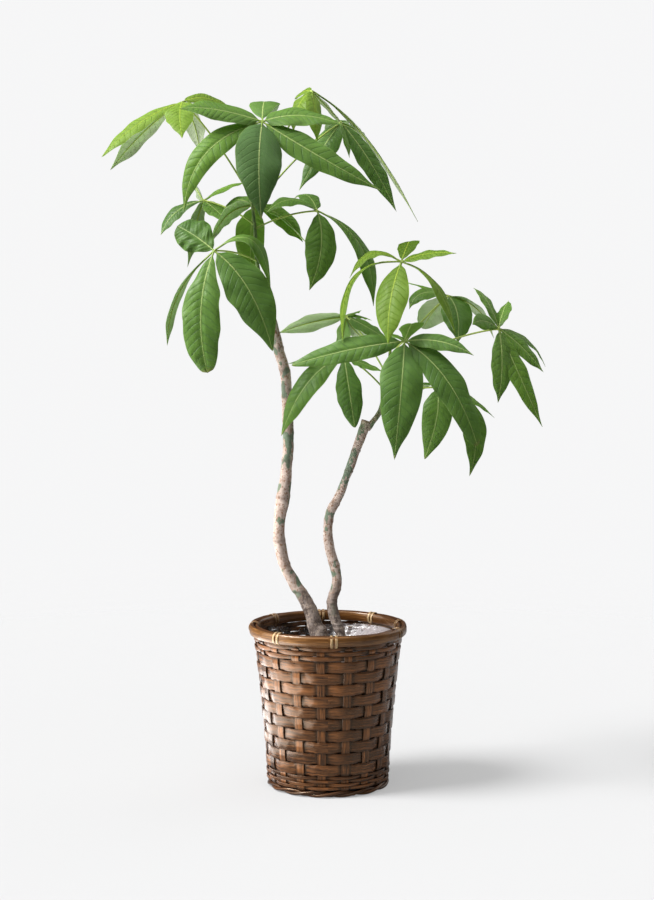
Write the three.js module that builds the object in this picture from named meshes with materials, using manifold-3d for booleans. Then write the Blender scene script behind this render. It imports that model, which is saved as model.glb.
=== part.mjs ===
// Potted money tree in a woven basket. Millimetres, +Z up, origin on the floor under the basket's centre.
// The viewer stands on the -Y side. Bearings round the basket run from there, positive to the viewer's right (+X).
import * as THREE from 'three';
import { mergeVertices } from 'three/addons/utils/BufferGeometryUtils.js';
import Module from 'manifold-3d';

// ---------------------------------------------------------------- driving dimensions

const CLEARANCE = 0.3;
const WELD = 1e-4;
const ROUND_SIDES = 40;

// The wall's middle surface: radius at the foot and at the shoulder, and how late it flares.
const WALL = { footRadius: 114, shoulderRadius: 139.5, shoulderZ: 290, flare: 1.35 };

const MAT = { radius: 111, thickness: 3 };

// A stake's foot lies in the mat: its points are [beyond the mat's rim, above the mat's middle]. Its heel is given from
// the place where it meets the wall. Above paredZ it is pared narrow to tuck in between the hoops.
const STAKE = {
  bearings: [
    -5.7, 16, 36.3, 56, 75.5, 95.5, 115.6, 135.6, 155.7, 175.7, 195.8, 215.8, 235.9, 255.9, 276, 296, 313.5, 333.7,
  ],
  width: 16, thickness: 1.6,
  foot: [[-12, 0], [-1, 0], [0.8, 2.5]], heel: [-3.4, -7], footZ: 14.5, levels: [45, 100, 160, 222],
  paredWidth: 6, paredZ: 284, paring: 4, tipZ: 306,
};

const STRIP = { rows: 10, firstZ: 51.9, pitch: 22.05, height: 21.4, thickness: 1.4 };
const UPPER_CANE = { rows: 3, firstZ: 265.9, pitch: 8.8, height: 8.4, thickness: 1.4 };
const LOWER_CANE = { rows: 4, firstZ: 17.6, pitch: 6.6, height: 6.2, thickness: 1.4 };
const WEAVE_HOLD_BEARING = 4.2; // half the stretch on which a row lies flat on a stake

const FOOT_ROD = { innerRadius: 115.5, thickness: 3.4, height: 6.5, chamfer: 1.2 };

const OUTER_HOOP = { innerRadius: 141.1, thickness: 8.9, height: 20, midZ: 300 };
const INNER_HOOP = { outerRadius: 138.2, thickness: 6.7, height: 19, midZ: 300 };
const BULGE_DEGREES = [-90, -45, 0, 45, 90];
const BINDING = {
  bearings: [-40.7, 4.3, 65.8, 101.5, 141.5, 185.5, 229.5, 266],
  width: 4.6, thickness: 1.2, spread: 1.65, tie: { width: 8, thickness: 1, height: 8 },
};

const LINER = {
  wallGap: 4, thickness: 0.6, floorZ: 3.6, footRadius: 106, levels: [20, 75, 130, 185, 240, 287.8], sides: 24,
};
const POT = {
  floorRadius: 88, topRadius: 114, bottomZ: 4.6, topZ: 236, wall: 1.8, lip: 3.5, lipHeight: 14, sides: 32,
};
const SOIL = { topZ: 222, crown: 4, shoulder: 0.6, gap: 0.4 };

// Trunks and shoots: [x, y, z, radius] from the bottom up.
const TRUNK_LEFT = [
  [-2, 4, 150, 11], [-5, 3, 195, 18], [-8, 2, 230, 19.5], [-12, 0, 260, 18.5], [-17, 0, 287, 17.5],
  [-25, 2, 306, 14.8], [-32, 4, 330, 13.2], [-46, 7, 357, 12.2], [-65, 8, 387, 11.3], [-81, 4, 418, 10.8],
  [-90, 0, 452, 11.4], [-93, -5, 480, 10.8], [-90, -10, 522, 11.6], [-85, -13, 553, 13], [-79, -11, 599, 10.8],
  [-75, -6, 650, 10.2], [-76, -2, 700, 10.4], [-80, 0, 781, 9.8], [-92, 0, 828, 10], [-102, 0, 872, 9],
  [-116, 0, 927, 5.4], [-130, 0, 976, 4], [-135, 0, 1017, 3.5], [-137, 0, 1058, 3.1], [-142, 0, 1099, 2.7],
  [-147, 0, 1122, 2.2],
];
const TRUNK_RIGHT = [
  [38, -4, 165, 7], [37, -3, 205, 9.5], [34, -2, 245, 10], [24, 0, 287, 9.2], [18, 2, 304, 9.8],
  [11, 5, 325, 10.6], [7, 7, 350, 10.3], [13, 9, 371, 9.8], [17, 10, 392, 9.2], [13, 12, 418, 10],
  [4, 14, 448, 9.6], [0, 14, 480, 9], [3, 12, 517, 8.7], [14, 10, 540, 9], [28, 7, 570, 7.8],
  [39, 4, 600, 7.6], [55, 2, 645, 8.8], [72, 0, 696, 9.6],
];
const SHOOT_RIGHT = [
  [74, 0, 680, 5.5], [84, 0, 694, 5.6], [93, 0, 706, 5.2], [101, 0, 722, 4.7], [109, 0, 764, 3.9],
  [115, 0, 807, 3.3], [117, 0, 830, 2.6],
];
const STEM_SIDES = 8;

const STALK = { radius: 1.6, sides: 5, steps: 4, lift: 0.06 };
const LEAF_HUB = { radius: 3.6, meridians: 5, rings: 3 };
const LEAFLET = { thickness: 1.2, rootWidth: 3, stations: [0, 0.2, 0.48, 0.78, 1], fullness: 0.85, taper: 0.15 };

// Each leaf: where its stalk leaves the stem (height), its hub, and its leaflets as offsets from the hub:
// [halfway point], [tip], width, roll about the midrib in degrees, and where it is widest (share of its length).
const LEAVES = {
  leaf_crown_front: {
    stem: 'left', z: 1110, hub: [-120, -70, 1250], leaflets: [
      [[-85, -25, 20], [-148, -50, 19], 60, 45, 0.42],
      [[-100, -50, -60], [-140, -60, -165], 54, 50, 0.45],
      [[-4, -80, -80], [1, -105, -179], 94, -10, 0.42],
      [[105, -25, -65], [215, -20, -125], 54, -55, 0.42],
      [[72, 5, 11], [150, 12, -7], 58, -45, 0.42],
      [[2, 70, 41], [12, 160, 26], 62, 5, 0.52],
    ],
  },
  leaf_crown_left: {
    stem: 'left', z: 1118, hub: [-270, -10, 1290], leaflets: [
      [[-76, -30, -40], [-145, -52, -104], 38, 38, 0.56],
      [[-72, 30, -50], [-138, 30, -124], 42, -25, 0.62],
      [[-2, -40, -25], [5, -85, -72], 60, -8, 0.42],
      [[18, 34, -34], [28, 60, -90], 56, -15, 0.5],
      [[44, 30, 9], [88, 55, -9], 42, -30, 0.5],
    ],
  },
  leaf_crown_right: {
    stem: 'left', z: 1104, hub: [-30, 50, 1315], leaflets: [
      [[-25, -25, -30], [-35, -45, -80], 50, 0, 0.45],
      [[5, -50, -40], [10, -75, -100], 44, 35, 0.5],
      [[-20, 30, 0], [-30, 70, -10], 34, 35, 0.5],
      [[30, 10, -30], [60, 15, -65], 36, 0, 0.5],
      [[100, 10, -85], [200, 5, -245], 40, 0, 0.6],
    ],
  },
  leaf_crown_rear: {
    stem: 'left', z: 1090, hub: [25, 110, 1260], leaflets: [
      [[55, -15, -75], [105, -35, -170], 48, -50, 0.5],
      [[-35, -20, -50], [-80, -35, -130], 56, 30, 0.45],
      [[10, -40, -35], [15, -65, -70], 30, 50, 0.5],
      [[25, 20, -10], [50, 40, -30], 34, 0, 0.5],
      [[-8, 62, 2], [-12, 130, -40], 50, 0, 0.5],
    ],
  },
  leaf_middle_right: {
    stem: 'left', z: 1056, hub: [-20, 20, 1090], leaflets: [
      [[7, -30, -70], [-15, -45, -148], 64, -14, 0.48],
      [[-50, -15, 20], [-95, -35, -5], 44, 15, 0.5],
      [[-20, 40, 30], [-45, 75, 25], 40, 0, 0.42],
      [[80, -15, -65], [105, -20, -178], 54, -30, 0.66],
    ],
  },
  leaf_middle_left: {
    stem: 'left', z: 1064, hub: [-235, 45, 1110], leaflets: [
      [[-50, -5, -20], [-80, -15, -65], 38, 40, 0.6],
      [[-14, 22, 22], [-26, 45, 40], 52, -65, 0.55],
      [[40, 20, 25], [75, 45, 35], 34, -5, 0.5],
      [[25, -24, -19], [47, -56, -42], 42, -25, 0.45],
      [[-15, -5, -45], [-30, -15, -125], 42, -45, 0.5],
    ],
  },
  leaf_low_left: {
    stem: 'left', z: 996, hub: [-210, -60, 1015], leaflets: [
      [[-34, 20, 26], [-70, 42, 46], 74, 62, 0.56],
      [[-66, 0, -78], [-87, -5, -174], 42, -15, 0.68],
      [[-22, -45, -108], [-10, -50, -222], 78, 15, 0.56],
      [[65, -25, -72], [108, -20, -184], 88, -45, 0.5],
      [[70, 5, 19], [103, 15, -72], 46, -35, 0.66],
    ],
  },
  leaf_stem_rear: {
    stem: 'left', z: 1036, hub: [-140, 30, 1100], leaflets: [
      [[-48, -54, -19], [-78, -68, -76], 40, -70, 0.5],
      [[-35, 30, 12], [-58, 52, -5], 42, 30, 0.5],
      [[-7, 25, -65], [-5, 25, -150], 64, 5, 0.45],
      [[52, 14, -20], [92, 20, -68], 54, -60, 0.6],
      [[55, 15, -30], [105, 5, -75], 34, 5, 0.5],
    ],
  },
  leaf_right_top: {
    stem: 'right', z: 824, hub: [135, -60, 995], leaflets: [
      [[-21, -50, -70], [-26, -80, -148], 66, 0, 0.48],
      [[-55, 0, 15], [-95, 0, -30], 36, 25, 0.6],
      [[-88, -25, -30], [-108, -45, -146], 44, 15, 0.72],
      [[15, 50, 35], [20, 120, 30], 44, 0, 0.5],
      [[50, -10, 15], [100, -20, 15], 36, -25, 0.42],
      [[60, -20, -40], [98, -30, -132], 34, -10, 0.68],
    ],
  },
  leaf_right_front: {
    stem: 'right', z: 808, hub: [140, -100, 850], leaflets: [
      [[-100, -10, -15], [-207, 0, -44], 52, 70, 0.48],
      [[-8, -50, -90], [-20, -60, -212], 86, 12, 0.46],
      [[78, -25, -72], [133, -20, -190], 68, -50, 0.5],
      [[65, -15, 0], [125, -20, -25], 38, -50, 0.45],
      [[15, 50, 30], [20, 120, 15], 48, 0, 0.5],
      [[-15, 40, 10], [-25, 90, 10], 30, -5, 0.5],
    ],
  },
  leaf_far_right: {
    stem: 'right', z: 790, hub: [320, -10, 870], leaflets: [
      [[-20, 20, 50], [-45, 40, 75], 34, -10, 0.45],
      [[10, 30, 30], [25, 80, 50], 36, 15, 0.5],
      [[-30, -30, 15], [-55, -70, 10], 36, 60, 0.5],
      [[4, -30, -65], [-4, -40, -136], 46, 0, 0.52],
      [[36, -26, -84], [80, -30, -182], 44, -25, 0.5],
      [[45, 5, -36], [85, 10, -82], 38, -55, 0.55],
      [[60, 50, -25], [95, 70, -75], 30, -40, 0.55],
    ],
  },
  leaf_right_rear: {
    stem: 'right', z: 799, hub: [230, 60, 930], leaflets: [
      [[-50, 0, 5], [-75, -5, -25], 40, 30, 0.5],
      [[-26, 26, -27], [-47, 44, -64], 62, -35, 0.55],
      [[15, -30, -35], [14, -55, -87], 66, -20, 0.48],
      [[55, -5, -25], [85, -10, -80], 42, 30, 0.5],
      [[-40, 30, 15], [-80, 55, 25], 28, 0, 0.5],
    ],
  },
  leaf_inner_rear: {
    stem: 'right', z: 780, hub: [35, 85, 890], leaflets: [
      [[-65, -10, -10], [-130, -20, -31], 46, -50, 0.5],
      [[10, 25, 5], [30, 60, 10], 32, 10, 0.5],
      [[25, 40, 0], [50, 75, -10], 30, -20, 0.5],
      [[40, -20, -20], [80, -35, -45], 42, -25, 0.5],
      [[20, 15, -30], [45, 35, -50], 36, 10, 0.5],
      [[-6, 6, -33], [-8, 12, -68], 56, 0, 0.5],
    ],
  },
  leaf_inner_front: {
    stem: 'right', z: 754, hub: [30, -20, 820], leaflets: [
      [[9, -30, -60], [20, -40, -132], 54, -5, 0.55],
      [[-68, -25, -50], [-117, -30, -148], 54, 35, 0.5],
      [[-55, 0, -5], [-105, -10, -15], 34, 25, 0.5],
      [[35, 5, -15], [75, -10, -30], 34, -35, 0.5],
      [[-15, 45, 0], [-30, 85, -15], 36, 0, 0.5],
    ],
  },
  leaf_right_low: {
    stem: 'right', z: 736, hub: [205, -10, 760], leaflets: [
      [[-2, -30, -55], [-25, -40, -132], 62, -10, 0.46],
      [[65, -15, -60], [60, -25, -165], 44, -25, 0.6],
      [[60, 25, -20], [110, 30, -60], 34, -35, 0.5],
      [[-15, 50, 5], [-30, 90, -15], 38, 0, 0.5],
    ],
  },
};

// ---------------------------------------------------------------- finishes

const FINISH = {
  strip: { color: 0x7a5636, roughness: 0.55 },
  cane: { color: 0x8a6238, roughness: 0.5 },
  hoop: { color: 0xa3743f, roughness: 0.45 },
  binding: { color: 0xd0b184, roughness: 0.5 },
  film: { color: 0xdfe3e4, roughness: 0.15, transparent: true, opacity: 0.35 },
  pot: { color: 0x24231f, roughness: 0.6 },
  soil: { color: 0x32241a, roughness: 0.95 },
  bark: { color: 0x8f7d63, roughness: 0.85 },
  leaf: { color: 0x3f7430, roughness: 0.4, side: THREE.DoubleSide },
};

// ---------------------------------------------------------------- solids

const wasm = await Module();
wasm.setup();

const Z_AXIS = new THREE.Vector3(0, 0, 1);
const radians = THREE.MathUtils.degToRad;
const vec = (p) => new THREE.Vector3(...p);

/** A point at a bearing and radius round the basket's axis. */
function around(bearing, radius, z, sideways = 0) {
  const a = radians(bearing);
  const x = radius * Math.sin(a) + sideways * Math.cos(a);
  const y = -radius * Math.cos(a) + sideways * Math.sin(a);
  return new THREE.Vector3(x, y, z);
}

/** Six times the volume that a triangle mesh encloses; negative when it is inside out. */
function signedVolume(points, triangles) {
  const cross = new THREE.Vector3();
  let sum = 0;
  for (const [a, b, c] of triangles) {
    sum += points[a].dot(cross.crossVectors(points[b], points[c]));
  }
  return sum;
}

/** Triangles as a geometry whose faces point out. */
function closedGeometry(points, triangles) {
  const turned = signedVolume(points, triangles) < 0;
  const index = triangles.flatMap(([a, b, c]) => (turned ? [a, c, b] : [a, b, c]));
  const geometry = new THREE.BufferGeometry();
  geometry.setAttribute('position', new THREE.Float32BufferAttribute(points.flatMap((p) => p.toArray()), 3));
  geometry.setIndex(index);
  return geometry;
}

/** Skins rings of points into one closed solid. An end ring may be a single point; a loop has no ends. */
function loft(rings, { loop = false } = {}) {
  const starts = [];
  const points = [];
  for (const ring of rings) {
    starts.push(points.length);
    points.push(...ring);
  }
  const triangles = [];
  const spans = loop ? rings.length : rings.length - 1;
  for (let i = 0; i < spans; i += 1) {
    const j = (i + 1) % rings.length;
    const sides = Math.max(rings[i].length, rings[j].length);
    for (let k = 0; k < sides; k += 1) {
      const next = (k + 1) % sides;
      const at = (row, corner) => starts[row] + (rings[row].length === 1 ? 0 : corner);
      if (rings[i].length > 1) triangles.push([at(i, k), at(i, next), at(j, k)]);
      if (rings[j].length > 1) triangles.push([at(i, next), at(j, next), at(j, k)]);
    }
  }
  if (!loop) {
    for (const [row, flip] of [[0, false], [rings.length - 1, true]]) {
      for (let k = 1; k < rings[row].length - 1; k += 1) {
        const s = starts[row];
        triangles.push(flip ? [s, s + k, s + k + 1] : [s, s + k + 1, s + k]);
      }
    }
  }
  return closedGeometry(points, triangles);
}

/** A closed geometry as a solid that can be joined and cut. */
function solid(geometry) {
  const bare = geometry.clone();
  for (const name of Object.keys(bare.attributes)) {
    if (name !== 'position') bare.deleteAttribute(name);
  }
  const merged = mergeVertices(bare, WELD);
  return new wasm.Manifold(new wasm.Mesh({
    numProp: 3,
    vertProperties: new Float32Array(merged.attributes.position.array),
    triVerts: new Uint32Array(merged.index.array),
  }));
}

/** A joined or cut solid back as a geometry. */
function geometryOf(body) {
  const mesh = body.getMesh();
  const geometry = new THREE.BufferGeometry();
  geometry.setAttribute('position', new THREE.BufferAttribute(new Float32Array(mesh.vertProperties), 3));
  geometry.setIndex(new THREE.BufferAttribute(new Uint32Array(mesh.triVerts), 1));
  return geometry;
}

function join(geometries) {
  return geometries.map(solid).reduce((whole, next) => whole.add(next));
}

/** A profile of [radius, z] turned round the basket's axis. */
function turned(profile, segments) {
  const geometry = new THREE.LatheGeometry(profile.map(([r, z]) => new THREE.Vector2(r, z)), segments);
  geometry.rotateX(Math.PI / 2);
  const flat = mergeVertices(stripped(geometry), WELD);
  const points = [];
  for (let i = 0; i < flat.attributes.position.count; i += 1) {
    points.push(new THREE.Vector3().fromBufferAttribute(flat.attributes.position, i));
  }
  const triangles = [];
  const index = flat.index.array;
  for (let i = 0; i < index.length; i += 3) {
    const corners = [index[i], index[i + 1], index[i + 2]];
    if (new Set(corners).size === 3) triangles.push(corners);
  }
  return closedGeometry(points, triangles);
}

function stripped(geometry) {
  geometry.deleteAttribute('normal');
  geometry.deleteAttribute('uv');
  return geometry;
}

// ---------------------------------------------------------------- basket

/** Radius of the wall's middle surface at a height. */
function wallRadius(z) {
  const share = Math.max(z, 0) / WALL.shoulderZ;
  return WALL.footRadius + (WALL.shoulderRadius - WALL.footRadius) * share ** WALL.flare;
}

/** One strip that starts in the base mat, turns up, follows the wall and tucks in between the hoops. */
function stake(bearing) {
  const { foot, heel, footZ, levels, paredZ, paring, tipZ } = STAKE;
  const inRim = wallRadius(paredZ + paring);
  const spine = [
    ...foot.map(([beyond, above]) => [MAT.radius + beyond, MAT.thickness / 2 + above]),
    [wallRadius(footZ) + heel[0], footZ + heel[1]],
    ...[footZ, ...levels, paredZ].map((z) => [wallRadius(z), z]),
    [inRim, paredZ + paring], [inRim, tipZ],
  ];
  const rings = spine.map(([r, z], i) => {
    const [r0, z0] = spine[Math.max(i - 1, 0)];
    const [r1, z1] = spine[Math.min(i + 1, spine.length - 1)];
    const run = new THREE.Vector2(r1 - r0, z1 - z0).normalize();
    const out = new THREE.Vector2(run.y, -run.x).multiplyScalar(STAKE.thickness / 2);
    const half = (z > STAKE.paredZ ? STAKE.paredWidth : STAKE.width) / 2;
    return [[-half, 1], [half, 1], [half, -1], [-half, -1]]
      .map(([side, face]) => around(bearing, r + face * out.x, z + face * out.y, side));
  });
  return loft(rings);
}

function baseAndStakes() {
  const { radius, thickness } = MAT;
  const mat = turned([[0, 0], [radius, 0], [radius, thickness], [0, thickness]], ROUND_SIDES);
  return geometryOf(join([mat, ...STAKE.bearings.map(stake)]));
}

/** One woven row: flat on the outside of every second stake and on the inside of those between. */
function wovenRow({ z, height, thickness }, phase) {
  const swing = (STAKE.thickness + thickness) / 2 + CLEARANCE;
  const corner = Math.cos(radians(WEAVE_HOLD_BEARING));
  const rings = [];
  STAKE.bearings.forEach((middle, i) => {
    const side = (i + phase) % 2 === 0 ? -1 : 1;
    for (const edge of [-WEAVE_HOLD_BEARING, WEAVE_HOLD_BEARING]) {
      rings.push([[1, -1], [1, 1], [-1, 1], [-1, -1]].map(([face, end]) => {
        const level = z + (end * height) / 2;
        const radius = (wallRadius(level) + side * swing + (face * thickness) / 2) / corner;
        return around(middle + edge, radius, level);
      }));
    }
  });
  return loft(rings, { loop: true });
}

function footRod(bottomZ) {
  const { innerRadius: inner, thickness, height, chamfer } = FOOT_ROD;
  const outer = inner + thickness;
  const top = bottomZ + height;
  return turned([
    [inner, bottomZ], [outer - chamfer, bottomZ], [outer, bottomZ + chamfer],
    [outer, top - chamfer], [outer - chamfer, top], [inner, top], [inner, bottomZ],
  ], ROUND_SIDES);
}

/** Points of a half-round hoop's bulge, from its lower edge to its upper edge. */
function bulge(baseRadius, thickness, height, midZ, grow = 0) {
  return BULGE_DEGREES.map((degrees) => {
    const a = radians(degrees);
    return [baseRadius + (thickness + grow) * Math.cos(a), midZ + (height / 2 + grow) * Math.sin(a)];
  });
}

function outerHoop() {
  const { innerRadius, thickness, height, midZ } = OUTER_HOOP;
  const profile = bulge(innerRadius, thickness, height, midZ);
  return turned([...profile, profile[0]], ROUND_SIDES);
}

function innerHoop() {
  const { outerRadius, thickness, height, midZ } = INNER_HOOP;
  const profile = bulge(outerRadius, -thickness, height, midZ);
  return turned([...profile, profile[0]], ROUND_SIDES);
}

/** A cane wound twice round both hoops, its two turns joined by the crossing on the inside. */
function binding(bearing) {
  const { width, thickness, spread, tie } = BINDING;
  const inside = INNER_HOOP.outerRadius - INNER_HOOP.thickness;
  const reach = INNER_HOOP.height / 2;
  const outline = (grow) => [
    ...bulge(OUTER_HOOP.innerRadius, OUTER_HOOP.thickness, OUTER_HOOP.height, OUTER_HOOP.midZ, grow),
    [inside - grow, INNER_HOOP.midZ + reach + grow],
    [inside - grow, INNER_HOOP.midZ - reach - grow],
  ];
  const inner = outline(2 * CLEARANCE);
  const outer = outline(2 * CLEARANCE + thickness);
  const turn = (at) => {
    const rings = inner.map((_, i) => [
      [outer[i], -width / 2], [outer[i], width / 2], [inner[i], width / 2], [inner[i], -width / 2],
    ].map(([[r, z], side]) => around(at, r, z, side)));
    return loft(rings, { loop: true });
  };
  const tieRadius = inside - 2 * CLEARANCE - thickness / 2;
  const crossing = new THREE.BoxGeometry(tie.width, tie.thickness, tie.height);
  crossing.rotateZ(radians(bearing));
  crossing.translate(...around(bearing, tieRadius, INNER_HOOP.midZ).toArray());
  return geometryOf(join([turn(bearing - spread), turn(bearing + spread), crossing]));
}

// ---------------------------------------------------------------- what the basket holds

function linerFilm() {
  const { wallGap, thickness, floorZ, footRadius, levels, sides } = LINER;
  const outside = levels.map((z) => [wallRadius(z) - wallGap, z]);
  const inside = levels.map((z) => [wallRadius(z) - wallGap - thickness, z]).reverse();
  return turned([
    [0, floorZ], [footRadius, floorZ], ...outside,
    ...inside, [footRadius - thickness, floorZ + thickness], [0, floorZ + thickness],
  ], sides);
}

/** The pot's outer radius at a height. */
function potRadius(z) {
  const { floorRadius, topRadius, bottomZ, topZ } = POT;
  return floorRadius + ((topRadius - floorRadius) * (z - bottomZ)) / (topZ - bottomZ);
}

function growerPot() {
  const { floorRadius, topRadius, bottomZ, topZ, wall, lip, lipHeight, sides } = POT;
  const lipZ = topZ - lipHeight;
  return turned([
    [0, bottomZ], [floorRadius, bottomZ], [potRadius(lipZ), lipZ], [potRadius(lipZ) + lip, lipZ],
    [topRadius + lip, topZ], [topRadius - wall, topZ], [floorRadius - wall, bottomZ + wall],
    [0, bottomZ + wall],
  ], sides);
}

function soil(stems) {
  const floorZ = POT.bottomZ + POT.wall + CLEARANCE;
  const inPot = (z) => potRadius(z) - POT.wall - 2 * CLEARANCE;
  const { topZ: top, crown, shoulder } = SOIL;
  const mound = turned([
    [0, floorZ], [inPot(floorZ), floorZ], [inPot(top), top], [shoulder * inPot(top), top + shoulder * crown],
    [0, top + crown],
  ], POT.sides);
  const hollowed = stems.reduce((body, stem) => body.subtract(solid(stemLoft(stem, SOIL.gap))), solid(mound));
  return geometryOf(hollowed);
}

// ---------------------------------------------------------------- stems

/** A round stem through its stations, each [x, y, z, radius]. */
function stemLoft(stations, grow = 0) {
  const places = stations.map(([x, y, z]) => new THREE.Vector3(x, y, z));
  const rings = stations.map(([, , , radius], i) => {
    const run = places[Math.min(i + 1, places.length - 1)].clone().sub(places[Math.max(i - 1, 0)]).normalize();
    const side = new THREE.Vector3(0, 1, 0).cross(run).normalize();
    const back = run.clone().cross(side);
    const ring = [];
    for (let k = 0; k < STEM_SIDES; k += 1) {
      const a = (2 * Math.PI * k) / STEM_SIDES;
      ring.push(places[i].clone()
        .addScaledVector(side, (radius + grow) * Math.cos(a))
        .addScaledVector(back, (radius + grow) * Math.sin(a)));
    }
    return ring;
  });
  return loft(rings);
}

/** The stem's middle and radius at a height. */
function stemAt(stations, z) {
  const i = Math.max(stations.findIndex((s) => s[2] >= z), 1);
  const [low, high] = [stations[i - 1], stations[i]];
  const t = (z - low[2]) / (high[2] - low[2]);
  const [x, y, , radius] = low.map((value, k) => value + (high[k] - value) * t);
  return { place: new THREE.Vector3(x, y, z), radius };
}

// ---------------------------------------------------------------- leaves

/** Share of the full width at a share s of the length, widest at `belly`. */
function leafletWidth(s, belly) {
  const u = s ** (Math.log(0.5) / Math.log(belly));
  return Math.sin(Math.PI * u) ** LEAFLET.fullness * (1 - LEAFLET.taper * s);
}

/** One leaflet: a thin blade, thickest along its midrib, on an arch from the hub through half to tip. */
function leaflet(hub, half, tip, width, roll, belly) {
  const control = half.clone().multiplyScalar(2).sub(hub.clone().add(tip).multiplyScalar(0.5));
  const arch = new THREE.QuadraticBezierCurve3(hub, control, tip);
  let face = Z_AXIS.clone();
  return loft(LEAFLET.stations.map((s) => {
    const place = arch.getPoint(s);
    if (s === 1) return [place];
    const run = arch.getTangent(s);
    face = face.addScaledVector(run, -face.dot(run)).normalize();
    const upward = face.clone().applyAxisAngle(run, -radians(roll));
    const side = run.clone().cross(upward);
    const reach = Math.max(width * leafletWidth(s, belly), LEAFLET.rootWidth) / 2;
    const thick = LEAFLET.thickness / 2;
    return [[side, reach], [upward, thick], [side, -reach], [upward, -thick]]
      .map(([direction, amount]) => place.clone().addScaledVector(direction, amount));
  }));
}

/** The leaf stalk, from just off the stem's bark to the hub, rising a little above the straight line. */
function stalk(stem, hub) {
  const toHub = hub.clone().sub(stem.place);
  const away = new THREE.Vector3(toHub.x, toHub.y, 0).normalize();
  const start = stem.place.clone().addScaledVector(away, stem.radius + STALK.radius + CLEARANCE);
  const span = hub.clone().sub(start);
  const bend = start.clone().addScaledVector(span, 0.5).addScaledVector(Z_AXIS, 2 * STALK.lift * span.length());
  const outline = new THREE.Shape();
  for (let k = 0; k < STALK.sides; k += 1) {
    const a = (2 * Math.PI * k) / STALK.sides;
    const corner = [STALK.radius * Math.cos(a), STALK.radius * Math.sin(a)];
    if (k === 0) outline.moveTo(...corner);
    else outline.lineTo(...corner);
  }
  outline.closePath();
  const path = new THREE.QuadraticBezierCurve3(start, bend, hub);
  return new THREE.ExtrudeGeometry(outline, { extrudePath: path, steps: STALK.steps, curveSegments: 1 });
}

/** A whole palmate leaf, stalk, hub and leaflets grown together. */
function leaf({ stem, z, hub, leaflets }) {
  const centre = vec(hub);
  const knot = new THREE.SphereGeometry(LEAF_HUB.radius, LEAF_HUB.meridians, LEAF_HUB.rings).translate(...hub);
  const from = stemAt(stem === 'left' ? TRUNK_LEFT : SHOOT_RIGHT, z);
  const blades = leaflets.map(([half, tip, width, roll, belly]) => (
    leaflet(centre, centre.clone().add(vec(half)), centre.clone().add(vec(tip)), width, roll, belly)));
  return geometryOf(join([stalk(from, centre), knot, ...blades]));
}

// ---------------------------------------------------------------- the whole plant

const group = new THREE.Group();

function add(name, geometry, finish) {
  const mesh = new THREE.Mesh(geometry, new THREE.MeshStandardMaterial({ metalness: 0, ...FINISH[finish] }));
  mesh.name = name;
  group.add(mesh);
}

function addRows(name, size, finish, firstPhase) {
  for (let i = 0; i < size.rows; i += 1) {
    const row = wovenRow({ z: size.firstZ + size.pitch * i, ...size }, firstPhase + i);
    add(`${name}_${String(i + 1).padStart(2, '0')}`, row, finish);
  }
}

add('basket_base_and_stakes', baseAndStakes(), 'strip');
addRows('lower_cane_row', LOWER_CANE, 'cane', 1);
addRows('weaver_strip', STRIP, 'strip', 1);
addRows('upper_cane_row', UPPER_CANE, 'cane', 1);
add('foot_rod_lower', footRod(0), 'cane');
add('foot_rod_upper', footRod(FOOT_ROD.height + CLEARANCE), 'cane');
add('rim_hoop_outer', outerHoop(), 'hoop');
add('rim_hoop_inner', innerHoop(), 'hoop');
BINDING.bearings.forEach((bearing, i) => add(`rim_binding_${i + 1}`, binding(bearing), 'binding'));

add('liner_film', linerFilm(), 'film');
add('grower_pot', growerPot(), 'pot');
add('soil', soil([TRUNK_LEFT, TRUNK_RIGHT]), 'soil');

add('trunk_left', stemLoft(TRUNK_LEFT), 'bark');
add('trunk_right', geometryOf(join([stemLoft(TRUNK_RIGHT), stemLoft(SHOOT_RIGHT)])), 'bark');
for (const [name, size] of Object.entries(LEAVES)) add(name, leaf(size), 'leaf');

export default group;
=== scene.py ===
"""Looks of a potted money tree in a woven basket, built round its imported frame.

Metres, +Z up, origin on the floor under the basket, the front faces -Y. Bearings round the basket are in
degrees from the front, positive to the viewer's right.
"""

from __future__ import annotations

import logging
import math
import random
from dataclasses import dataclass, field
from enum import Enum
from typing import Callable, Sequence

import bpy
import numpy as np
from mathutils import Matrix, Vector


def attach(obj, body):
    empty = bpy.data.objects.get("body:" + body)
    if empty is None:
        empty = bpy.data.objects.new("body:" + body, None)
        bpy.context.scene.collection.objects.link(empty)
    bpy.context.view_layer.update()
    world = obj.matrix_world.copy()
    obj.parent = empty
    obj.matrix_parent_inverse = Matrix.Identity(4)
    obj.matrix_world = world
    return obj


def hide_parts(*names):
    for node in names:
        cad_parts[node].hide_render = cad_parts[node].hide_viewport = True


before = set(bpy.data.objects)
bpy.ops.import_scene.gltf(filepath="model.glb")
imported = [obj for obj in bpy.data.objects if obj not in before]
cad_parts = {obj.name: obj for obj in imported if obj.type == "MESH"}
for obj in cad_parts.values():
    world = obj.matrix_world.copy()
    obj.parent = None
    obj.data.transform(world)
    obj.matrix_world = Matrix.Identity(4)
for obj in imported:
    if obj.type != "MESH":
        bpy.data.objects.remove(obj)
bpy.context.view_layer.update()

LOG = logging.getLogger("money_tree")
BODY = "root"
MERGE = 1e-6  # metres within which a wrapped grid's seam closes

Array = np.ndarray
Piece = bpy.types.Object
Pair = tuple[float, float]
Point = tuple[float, float, float]
Colour = tuple[float, float, float]
Placer = Callable[[Array, Array], Array]  # places from shares along and across a grid
Swell = Callable[[Array, Array], Array]  # metres added to a tube's radius, from places and station numbers


# ---------------------------------------------------------------- shader arithmetic


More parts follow.
